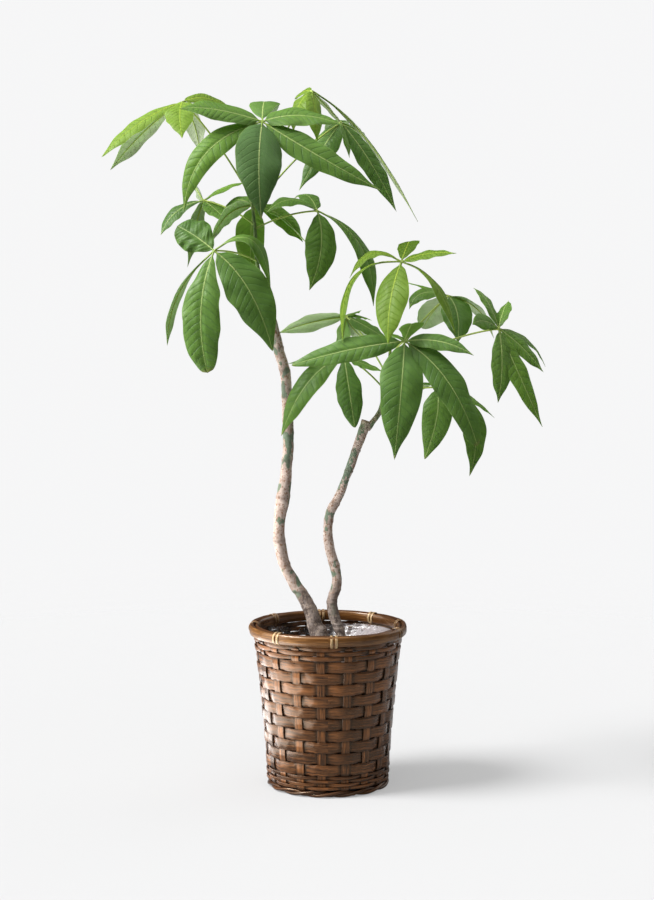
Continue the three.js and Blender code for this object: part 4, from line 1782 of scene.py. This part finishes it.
@dataclass(frozen=True)
class Leaflet:
    """One leaflet as offsets from the leaf's hub, in metres."""

    half: Point
    tip: Point
    width: float
    roll: float
    belly: float
    tone: float
    blunt: float = 0.0
    crinkle: float = 1.0

    def line(self, hub: Array, count: int) -> Array:
        """The midrib's arch through the halfway point to the tip.

        Args:
            hub: the leaf's hub.
            count: how many places are wanted.

        Returns:
            The places, one row each.
        """
        half, tip = hub + np.array(self.half), hub + np.array(self.tip)
        return arch(hub, 2 * half - (hub + tip) / 2, tip, count)

    def facing(self, line: Array) -> tuple[Array, Array]:
        """The blade's directions, rolled about its midrib.

        Args:
            line: places along the midrib.

        Returns:
            Unit vectors across the blade, and out of its upper skin.
        """
        _, level, sideways = directions(line)
        roll = math.radians(self.roll)
        side = sideways * math.cos(roll) + level * math.sin(roll)
        return side, level * math.cos(roll) - sideways * math.sin(roll)

    def half_width(self, share: Array) -> Array:
        """The blade's outline.

        Args:
            share: how far along the midrib.

        Returns:
            Half of the blade's width there.
        """
        u = np.clip(share, 0, 1) ** (math.log(0.5) / math.log(self.belly))
        power = 0.85 - 0.45 * self.blunt * smooth_step(share, 0.45, 0.85)
        body = np.clip(np.sin(math.pi * u), 0, 1) ** power * (1 - 0.15 * share)
        base = 0.10 + 0.90 * smooth_step(share, 0.01, 0.10)
        point = 1 - 0.38 * (1 - self.blunt) * smooth_step(share, 0.80, 0.96)
        return np.maximum(body * base * point * self.width, 0.0012 * (1 - share)) / 2


@dataclass(frozen=True)
class LeafPlan:
    """Where a leaf leaves its stem, its hub and its leaflets."""

    name: str
    stem: Stem
    stem_z: float
    hub: Point
    leaflets: tuple[Leaflet, ...]


LEAF_PLANS: tuple[LeafPlan, ...] = (
    LeafPlan("leaf_crown_front", Stem.LEFT, 1.110, (-0.120, -0.070, 1.250), (
        Leaflet((-0.085, -0.025, 0.020), (-0.148, -0.050, 0.019), 0.060, 45, 0.42, 0.36),
        Leaflet((-0.100, -0.050, -0.060), (-0.140, -0.060, -0.165), 0.054, 50, 0.45, 0.42, 0.0, 1.3),
        Leaflet((-0.004, -0.080, -0.080), (0.001, -0.105, -0.179), 0.094, 22, 0.42, 0, 0.0, 0.5),
        Leaflet((0.105, -0.025, -0.065), (0.215, -0.020, -0.125), 0.054, -55, 0.42, 0.3, 0.0, 0.6),
        Leaflet((0.072, 0.005, 0.011), (0.150, 0.012, -0.007), 0.058, -45, 0.42, 0.3),
        Leaflet((0.002, 0.070, 0.041), (0.012, 0.160, 0.026), 0.062, 5, 0.52, 0.3, 0.8, 0.6),
    )),
    LeafPlan("leaf_crown_left", Stem.LEFT, 1.118, (-0.270, -0.010, 1.290), (
        Leaflet((-0.076, -0.030, -0.040), (-0.145, -0.052, -0.104), 0.038, 38, 0.56, 0.75, 0.3, 0.4),
        Leaflet((-0.072, 0.030, -0.050), (-0.138, 0.030, -0.124), 0.042, -25, 0.62, 0.8),
        Leaflet((-0.002, -0.040, -0.025), (0.005, -0.085, -0.072), 0.060, -8, 0.42, 0.72),
        Leaflet((0.018, 0.034, -0.034), (0.028, 0.060, -0.090), 0.056, -15, 0.5, 0.8),
        Leaflet((0.044, 0.030, 0.009), (0.088, 0.055, -0.009), 0.042, -30, 0.5, 0.6),
    )),
    LeafPlan("leaf_crown_right", Stem.LEFT, 1.104, (-0.030, 0.050, 1.315), (
        Leaflet((-0.025, -0.025, -0.030), (-0.035, -0.045, -0.080), 0.050, 0, 0.45, 0.6),
        Leaflet((0.005, -0.050, -0.040), (0.010, -0.075, -0.100), 0.044, 35, 0.5, 0.8),
        Leaflet((-0.020, 0.030, 0.000), (-0.030, 0.070, -0.010), 0.034, 35, 0.5, 0.5),
        Leaflet((0.030, 0.010, -0.030), (0.060, 0.015, -0.065), 0.036, 0, 0.5, 0.8),
        Leaflet((0.100, 0.010, -0.085), (0.200, 0.005, -0.245), 0.040, 0, 0.6, 0.6),
    )),
    LeafPlan("leaf_crown_rear", Stem.LEFT, 1.090, (0.025, 0.110, 1.260), (
        Leaflet((0.055, -0.015, -0.075), (0.105, -0.035, -0.170), 0.048, -50, 0.5, 0.28),
        Leaflet((-0.035, -0.020, -0.050), (-0.080, -0.035, -0.130), 0.056, 30, 0.45, 0.3),
        Leaflet((0.010, -0.040, -0.035), (0.015, -0.065, -0.070), 0.030, 50, 0.5, 0.45),
        Leaflet((0.025, 0.020, -0.010), (0.050, 0.040, -0.030), 0.034, 0, 0.5, 0.3),
        Leaflet((-0.008, 0.062, 0.002), (-0.012, 0.130, -0.040), 0.050, 0, 0.5, 0.3),
    )),
    LeafPlan("leaf_middle_right", Stem.LEFT, 1.056, (-0.020, 0.020, 1.090), (
        Leaflet((0.007, -0.030, -0.070), (-0.015, -0.045, -0.148), 0.064, -14, 0.48, 0.3),
        Leaflet((-0.050, -0.015, 0.020), (-0.095, -0.035, -0.005), 0.044, 15, 0.5, 0.35),
        Leaflet((-0.020, 0.040, 0.030), (-0.045, 0.075, 0.025), 0.040, 0, 0.42, 0.3),
        Leaflet((0.080, -0.015, -0.065), (0.105, -0.020, -0.178), 0.054, -30, 0.66, 0.35),
    )),
    LeafPlan("leaf_middle_left", Stem.LEFT, 1.064, (-0.235, 0.045, 1.110), (
        Leaflet((-0.050, -0.005, -0.020), (-0.080, -0.015, -0.065), 0.038, 40, 0.6, 0.15),
        Leaflet((-0.014, 0.022, 0.022), (-0.026, 0.045, 0.040), 0.052, -65, 0.55, 0.4),
        Leaflet((0.040, 0.020, 0.025), (0.075, 0.045, 0.035), 0.034, -5, 0.5, 0.5),
        Leaflet((0.025, -0.024, -0.019), (0.047, -0.056, -0.042), 0.042, -25, 0.45, 0.3),
        Leaflet((-0.015, -0.005, -0.045), (-0.030, -0.015, -0.125), 0.042, -45, 0.5, 0.35),
    )),
    LeafPlan("leaf_low_left", Stem.LEFT, 0.996, (-0.210, -0.060, 1.015), (
        Leaflet((-0.034, 0.020, 0.026), (-0.070, 0.042, 0.046), 0.074, 62, 0.56, 0.25, 1.0, 2.2),
        Leaflet((-0.066, 0.000, -0.078), (-0.087, -0.005, -0.174), 0.042, -15, 0.68, 0.45),
        Leaflet((-0.022, -0.045, -0.108), (-0.010, -0.050, -0.222), 0.078, 15, 0.56, 0.28, 1.0, 1.5),
        Leaflet((0.065, -0.025, -0.072), (0.108, -0.020, -0.184), 0.088, -45, 0.5, 0.22, 0.2, 0.7),
        Leaflet((0.070, 0.005, 0.019), (0.103, 0.015, -0.072), 0.046, -35, 0.66, 0.35, 0.3, 1.0),
    )),
    LeafPlan("leaf_stem_rear", Stem.LEFT, 1.036, (-0.140, 0.030, 1.100), (
        Leaflet((-0.048, -0.054, -0.019), (-0.078, -0.068, -0.076), 0.040, -70, 0.5, 0.6),
        Leaflet((-0.035, 0.030, 0.012), (-0.058, 0.052, -0.005), 0.042, 30, 0.5, 0.3),
        Leaflet((-0.007, 0.025, -0.065), (-0.005, 0.025, -0.150), 0.064, 185, 0.45, 0.55),
        Leaflet((0.052, 0.014, -0.020), (0.092, 0.020, -0.068), 0.054, -60, 0.6, 0.5),
        Leaflet((0.055, 0.015, -0.030), (0.105, 0.005, -0.075), 0.034, 5, 0.5, 0.7),
    )),
    LeafPlan("leaf_right_top", Stem.RIGHT, 0.824, (0.135, -0.060, 0.995), (
        Leaflet((-0.021, -0.050, -0.070), (-0.026, -0.080, -0.148), 0.066, 0, 0.48, 0.55, 0.0, 0.5),
        Leaflet((-0.055, 0.000, 0.015), (-0.095, 0.000, -0.030), 0.036, 25, 0.6, 0.8),
        Leaflet((-0.088, -0.025, -0.030), (-0.108, -0.045, -0.146), 0.028, 15, 0.72, 0.45),
        Leaflet((0.015, 0.050, 0.035), (0.020, 0.120, 0.030), 0.044, 0, 0.5, 0.4, 1.0, 0.6),
        Leaflet((0.050, -0.010, 0.015), (0.100, -0.020, 0.015), 0.036, -25, 0.42, 0.45),
        Leaflet((0.060, -0.020, -0.040), (0.098, -0.030, -0.132), 0.034, -10, 0.68, 0.6),
    )),
    LeafPlan("leaf_right_front", Stem.RIGHT, 0.808, (0.140, -0.100, 0.850), (
        Leaflet((-0.100, -0.010, -0.015), (-0.207, 0.000, -0.044), 0.052, 70, 0.48, 0.3, 0.6, 1.1),
        Leaflet((-0.008, -0.050, -0.090), (-0.020, -0.060, -0.212), 0.086, 12, 0.46, 0.25, 0.0, 0.6),
        Leaflet((0.078, -0.025, -0.072), (0.133, -0.020, -0.190), 0.068, -50, 0.5, 0.2, 1.0, 0.7),
        Leaflet((0.065, -0.015, 0.000), (0.125, -0.020, -0.025), 0.038, -50, 0.45, 0.3),
        Leaflet((0.015, 0.050, 0.030), (0.020, 0.120, 0.015), 0.048, 0, 0.5, 0.5),
        Leaflet((-0.015, 0.040, 0.010), (-0.025, 0.090, 0.010), 0.030, -5, 0.5, 0.4),
    )),
    LeafPlan("leaf_far_right", Stem.RIGHT, 0.790, (0.320, -0.010, 0.870), (
        Leaflet((-0.020, 0.020, 0.050), (-0.045, 0.040, 0.075), 0.034, -10, 0.45, 0.4),
        Leaflet((0.010, 0.030, 0.030), (0.025, 0.080, 0.050), 0.036, 15, 0.5, 0.4),
        Leaflet((-0.030, -0.030, 0.015), (-0.055, -0.070, 0.010), 0.036, 60, 0.5, 0.4),
        Leaflet((0.004, -0.030, -0.065), (-0.004, -0.040, -0.136), 0.046, 0, 0.52, 0.35),
        Leaflet((0.036, -0.026, -0.084), (0.080, -0.030, -0.182), 0.044, -25, 0.5, 0.4),
        Leaflet((0.045, 0.005, -0.036), (0.085, 0.010, -0.082), 0.038, -55, 0.55, 0.4),
        Leaflet((0.060, 0.050, -0.025), (0.095, 0.070, -0.075), 0.030, -40, 0.55, 0.4),
    )),
    LeafPlan("leaf_right_rear", Stem.RIGHT, 0.799, (0.230, 0.060, 0.930), (
        Leaflet((-0.050, 0.000, 0.005), (-0.075, -0.005, -0.025), 0.040, 30, 0.5, 0.35),
        Leaflet((-0.026, 0.026, -0.027), (-0.047, 0.044, -0.064), 0.062, -35, 0.55, 0.95, 0.8, 0.8),
        Leaflet((0.015, -0.030, -0.035), (0.014, -0.055, -0.087), 0.066, -20, 0.48, 0.25),
        Leaflet((0.055, -0.005, -0.025), (0.085, -0.010, -0.080), 0.042, 30, 0.5, 0.6),
        Leaflet((-0.040, 0.030, 0.015), (-0.080, 0.055, 0.025), 0.028, 0, 0.5, 0.5),
    )),
    LeafPlan("leaf_inner_rear", Stem.RIGHT, 0.780, (0.035, 0.085, 0.890), (
        Leaflet((-0.065, -0.010, -0.010), (-0.130, -0.020, -0.031), 0.046, -50, 0.5, 1),
        Leaflet((0.010, 0.025, 0.005), (0.030, 0.060, 0.010), 0.032, 10, 0.5, 0.5),
        Leaflet((0.025, 0.040, 0.000), (0.050, 0.075, -0.010), 0.030, -20, 0.5, 0.5),
        Leaflet((0.040, -0.020, -0.020), (0.080, -0.035, -0.045), 0.042, -25, 0.5, 0.3),
        Leaflet((0.020, 0.015, -0.030), (0.045, 0.035, -0.050), 0.036, 10, 0.5, 0.5),
        Leaflet((-0.006, 0.006, -0.033), (-0.008, 0.012, -0.068), 0.056, 0, 0.5, 1, 1.0, 0.6),
    )),
    LeafPlan("leaf_inner_front", Stem.RIGHT, 0.754, (0.030, -0.020, 0.820), (
        Leaflet((0.009, -0.030, -0.060), (0.020, -0.040, -0.132), 0.054, -5, 0.55, 0.25, 0.6, 0.9),
        Leaflet((-0.068, -0.025, -0.050), (-0.117, -0.030, -0.148), 0.054, 35, 0.5, 0.3, 0.2, 1.4),
        Leaflet((-0.055, 0.000, -0.005), (-0.105, -0.010, -0.015), 0.034, 25, 0.5, 0.4),
        Leaflet((0.035, 0.005, -0.015), (0.075, -0.010, -0.030), 0.034, -35, 0.5, 0.35),
        Leaflet((-0.015, 0.045, 0.000), (-0.030, 0.085, -0.015), 0.036, 0, 0.5, 0.3),
    )),
    LeafPlan("leaf_right_low", Stem.RIGHT, 0.736, (0.205, -0.010, 0.760), (
        Leaflet((-0.002, -0.030, -0.055), (-0.025, -0.040, -0.132), 0.062, -10, 0.46, 0.3, 0.3, 0.8),
        Leaflet((0.065, -0.015, -0.060), (0.060, -0.025, -0.165), 0.054, -62, 0.6, 0.3),
        Leaflet((0.060, 0.025, -0.020), (0.110, 0.030, -0.060), 0.034, -35, 0.5, 0.5),
        Leaflet((-0.015, 0.050, 0.005), (-0.030, 0.090, -0.015), 0.038, 0, 0.5, 0.3),
    )),
)
YOUNG = ("leaf_crown_left", "leaf_crown_right", "leaf_right_top")


@dataclass
class Leaf:
    """A palmate leaf: stalk, hub and glossy leaflets with worked-in veins."""

    plan: LeafPlan
    seed: int
    thickness: float = 0.0005
    fold: float = 0.16
    droop: float = 0.28
    pucker: float = 0.0012
    vein_pitch: Pair = (0.0090, 0.0155)
    vein_slope: float = 0.50
    vein_curve: float = 9.0
    ridge: Pair = (0.0005, 0.0009)
    rib_radii: Pair = (0.00185, 0.00025)
    rib_rings: int = 30
    columns: int = 84
    rows: int = 24
    stalk_radius: float = 0.0017
    stalk_lift: float = 0.06

    def build(self) -> None:
        """Grows the leaf."""
        hub = np.array(self.plan.hub)
        parts = [self._stalk(hub)]
        for i, leaflet in enumerate(self.plan.leaflets):
            parts += [self._blade(leaflet, hub, i), self._rib(leaflet, hub, i)]
        leaf = Workshop.joined(self.plan.name, parts)
        slot = "young_leaf" if self.young else "leaf"
        Workshop.hand_over(leaf, slot, self.plan.name, angle=75.0)

    @property
    def young(self) -> bool:
        """Whether the leaf is still in its first bright green."""
        return self.plan.name in YOUNG

    def _blade(self, leaflet: Leaflet, hub: Array, index: int) -> Piece:
        """One blade, its veins sunk and the skin between them puckered up.

        Args:
            leaflet: the leaflet.
            hub: the leaf's hub.
            index: the leaflet's number.

        Returns:
            The blade.
        """
        line = leaflet.line(hub, self.columns + 1)
        length = length_of(line)
        side, upward = leaflet.facing(line)
        seed = self.seed * 31 + index * 7
        draw = random.Random(seed)
        wave, twist = draw.uniform(0.6, 1.3), draw.uniform(-0.22, 0.22)
        pitch = min(max(length / 13, self.vein_pitch[0]), self.vein_pitch[1])

        def count(along: Array, t: Array) -> Array:
            """How many side veins lie between a place and the hub.

            Args:
                along: shares along the blade.
                t: shares across it, from -1 to 1.

            Returns:
                The counts.
            """
            away = np.abs(t) * leaflet.half_width(along)
            spots = np.stack([along * 3, np.sign(t) * 2.0, np.zeros_like(t)], axis=1)
            drift = ripples(spots, 1.1, seed) * 0.35
            return (along * length - away * self.vein_slope - away**2 * self.vein_curve) / pitch + drift

        def place(along: Array, over: Array) -> Array:
            """Lays the blade across its midrib.

            Args:
                along: shares along the grid.
                over: shares across it.

            Returns:
                The places.
            """
            i = np.rint(along * self.columns).astype(int)
            t = 1 - 2 * over
            spots = np.stack([along * 4, t, np.zeros_like(t)], axis=1)
            reach = leaflet.half_width(along) * (1 + ripples(spots, 0.85, seed + 1) * 0.042 * np.abs(t))
            away = np.abs(t) * reach
            inner = smooth_step(np.abs(t), 0.03, 0.25) * (1 - smooth_step(np.abs(t), 0.80, 1.0) * 0.6)
            uneven = np.clip(0.75 + ripples(spots, 0.7, seed + 2) * 0.45, 0.15, 1.6)
            depth = self.pucker * leaflet.crinkle * np.clip(reach / 0.030, 0.3, 1.2) * uneven
            raised = np.abs(np.sin(math.pi * count(along, t))) ** 0.4 * inner * depth
            edge = np.sin(2 * math.pi * (along * 3.2 * wave + t * 0.2) + seed) * t**2 * 0.07 * reach
            cup = reach * (self.fold * np.abs(t) - self.droop * t**2) + twist * t * reach * along
            height = cup + raised + edge + self.ridge[0] * np.exp(-(away / self.ridge[1]) ** 2)
            return line[i] + side[i] * (reach * t)[:, None] + upward[i] * height[:, None]

        blade = Workshop.grid(f"{self.plan.name}_blade_{index}", self.columns, self.rows, place, (1.0, 1.0))
        share, over = Workshop.shares(self.columns, self.rows)
        across = 1 - 2 * over
        Workshop.mark(blade, share, np.abs(across), leaflet.tone + draw.uniform(-0.05, 0.05))
        self._map_blade(blade, count(share, across), across * leaflet.half_width(share))
        top = Finish.LEAF_YOUNG if self.young else Finish.LEAF_TOP
        Workshop.dress(blade, top, Finish.LEAF_UNDER, Finish.STALK)
        Workshop.modify(
            blade, "SOLIDIFY", thickness=self.thickness, offset=-1.0,
            material_offset=1, material_offset_rim=1)
        return blade

    @staticmethod
    def _map_blade(blade: Piece, along: Array, across: Array) -> None:
        """Writes the blade's own map.

        Args:
            blade: the new blade.
            along: the count of side veins at each vertex.
            across: the metres from the midrib.
        """
        corners = np.empty(len(blade.data.loops), dtype=int)
        blade.data.loops.foreach_get("vertex_index", corners)
        spots = np.stack([along[corners], across[corners]], axis=1)
        blade.data.uv_layers["metres"].data.foreach_set("uv", spots.ravel())

    def _rib(self, leaflet: Leaflet, hub: Array, index: int) -> Piece:
        """The midrib under a blade, which is also the leaflet's short stalk.

        Args:
            leaflet: the leaflet.
            hub: the leaf's hub.
            index: the leaflet's number.

        Returns:
            The rib.
        """
        stations = 60
        line = leaflet.line(hub, stations)
        _, upward = leaflet.facing(line)
        picks = np.linspace(0, stations - 4, self.rib_rings).round().astype(int)
        share = picks / (stations - 1)
        thick, thin = self.rib_radii
        radius = (thick - thin) * (1 - share) ** 0.8 + thin
        sunk = radius * 0.75 * smooth_step(share, 0.0, 0.1)
        rows = np.column_stack([line[picks] - upward[picks] * sunk[:, None], radius])
        return self._green_tube(f"{self.plan.name}_rib_{index}", rows, 7, 0.35 + 0.4 * leaflet.tone)

    def _stalk(self, hub: Array) -> Piece:
        """The leaf stalk, rising from the stem and swollen at both ends.

        Args:
            hub: the leaf's hub.

        Returns:
            The stalk.
        """
        stations = TRUNK_LEFT if self.plan.stem is Stem.LEFT else SHOOT_RIGHT
        table = np.array(stations)
        start = np.array([np.interp(self.plan.stem_z, table[:, 2], table[:, k]) for k in (0, 1)]
                         + [self.plan.stem_z])
        span = hub - start
        bend = start + span / 2 + np.array([0, 0, 2 * self.stalk_lift * float(np.linalg.norm(span))])
        share = np.linspace(0, 1, 40)
        swell = 1 + 0.75 * np.exp(-(share / 0.05) ** 2) + 0.9 * np.exp(-((share - 1) / 0.025) ** 2)
        rows = np.column_stack([arch(start, bend, hub, len(share)), self.stalk_radius * swell])
        return self._green_tube(f"{self.plan.name}_stalk", rows, 10, 0.5)

    @staticmethod
    def _green_tube(name: str, rows: Array, sides: int, tone: float) -> Piece:
        """A smooth green tube.

        Args:
            name: the tube's name.
            rows: its stations of x, y, z and radius.
            sides: faces round it.
            tone: how light its green is.

        Returns:
            The tube.
        """
        piece = tube(name, rows, sides)
        Workshop.mark(piece, Workshop.shares(len(rows) - 1, sides)[0], 0.0, tone)
        Workshop.seal(piece, ends=True)
        Workshop.dress(piece, Finish.LEAF_TOP, Finish.LEAF_UNDER, Finish.STALK)
        for face in piece.data.polygons:
            face.material_index = 2
        return piece


@dataclass
class Plant:
    """Both trunks and every leaf."""

    left_knots: tuple[float, ...] = (
        0.302, 0.338, 0.372, 0.423, 0.470, 0.553, 0.620, 0.676, 0.741, 0.792, 0.835)
    right_knots: tuple[float, ...] = (0.298, 0.350, 0.371, 0.425, 0.505, 0.538, 0.602, 0.640, 0.683)

    def build(self) -> None:
        """Grows the plant."""
        Trunk("trunk_left", TRUNK_LEFT, Finish.BARK_LEFT, 200, self.left_knots).build()
        Trunk(
            "trunk_right", TRUNK_RIGHT, Finish.BARK_RIGHT, 300, self.right_knots, knot_size=0.0008,
            cut_top=True, shoot=SHOOT_RIGHT).build()
        for i, plan in enumerate(LEAF_PLANS):
            Leaf(plan, i + 1).build()


# ---------------------------------------------------------------- studio


@dataclass
class Softbox:
    """A large soft light, hung so far away that it lights the whole floor evenly.

    Its bearing is in degrees from the front, positive to the viewer's right, and its width is how wide it
    looks.
    """

    name: str
    bearing: float
    height: float
    width: float
    power: float

    def build(self) -> None:
        """Hangs the light."""
        light = bpy.data.lights.new(self.name, "SUN")
        light.energy, light.angle = self.power, math.radians(self.width)
        lamp = bpy.data.objects.new(self.name, light)
        bpy.context.scene.collection.objects.link(lamp)
        lamp.rotation_euler = (math.radians(90 - self.height), 0, math.radians(self.bearing))


@dataclass
class Bounce:
    """A patch of bright floor at the object's lit side, which only shines back onto it."""

    name: str
    place: Point
    size: Pair
    power: float

    def build(self) -> None:
        """Lays the light down, shining upwards."""
        light = bpy.data.lights.new(self.name, "AREA")
        light.shape, light.size, light.size_y = "RECTANGLE", *self.size
        light.energy = self.power
        lamp = bpy.data.objects.new(self.name, light)
        bpy.context.scene.collection.objects.link(lamp)
        lamp.location, lamp.rotation_euler = self.place, (math.pi, 0, 0)
        lamp.visible_camera = False


@dataclass
class Studio:
    """A pale floor and background, soft lights and the camera."""

    camera_place: Point = (-0.002, -3.8, 1.0)
    tilt: float = 5.4
    lens: float = 80.8
    sensor: float = 36.0
    background: float = 0.925
    fill: float = 0.08
    floor_radius: float = 4.0
    floor_z: float = -0.0004
    lights: tuple[Softbox | Bounce, ...] = (
        Softbox("key_left", -74.0, 46.0, 26.0, 4.9),
        Softbox("window_left", -84.0, 8.0, 46.0, 1.2),
        Softbox("overhead", -20.0, 76.0, 80.0, 1.5),
        Bounce("bounce_left", (-0.64, -0.05, 0.003), (0.70, 1.0), 11.2),
        Softbox("rim_right", 125.0, 30.0, 50.0, 0.5),
    )

    def build(self) -> None:
        """Sets the scene."""
        self._camera()
        self._floor()
        self._world()
        for light in self.lights:
            light.build()
        bpy.context.scene.view_settings.view_transform = "Standard"

    def _camera(self) -> None:
        """The photograph's view."""
        lens = bpy.data.cameras.new("camera")
        lens.lens, lens.sensor_width = self.lens, self.sensor
        camera = bpy.data.objects.new("camera", lens)
        bpy.context.scene.collection.objects.link(camera)
        camera.location = self.camera_place
        camera.rotation_euler = (math.radians(90 - self.tilt), 0, 0)
        bpy.context.scene.camera = camera

    def _floor(self) -> None:
        """A wide round floor."""
        Workshop.clear()
        bpy.ops.mesh.primitive_circle_add(vertices=96, radius=self.floor_radius, fill_type="NGON")
        floor = bpy.context.object
        floor.name = "floor"
        floor.location = (0, 0, self.floor_z)
        bpy.ops.object.transform_apply(location=True, rotation=True, scale=True)
        Workshop.dress(floor, Finish.FLOOR)

    def _world(self) -> None:
        """An even pale background that lights less than it shows."""
        g = Graph(bpy.data.worlds.new("studio"))
        seen = Value(g, g.node("ShaderNodeLightPath").outputs["Is Camera Ray"])
        limits = {"Value": seen, "To Min": self.fill, "To Max": self.background}
        strength = Value(g, g.node("ShaderNodeMapRange", None, limits).outputs[0])
        glow = g.node("ShaderNodeBackground", None, {"Color": (1.0, 1.0, 1.005, 1.0), "Strength": strength})
        bpy.context.scene.world = g.finish(glow, "ShaderNodeOutputWorld")


def main() -> None:
    """Builds the studio and the object, logging each piece's face count."""
    logging.basicConfig(level=logging.INFO, format="%(message)s")
    Studio().build()
    basket = Basket()
    basket.build()
    Liner(basket.wall).build()
    GrowerPot().build()
    Soil().build()
    Plant().build()


if __name__ == "__main__":
    main()
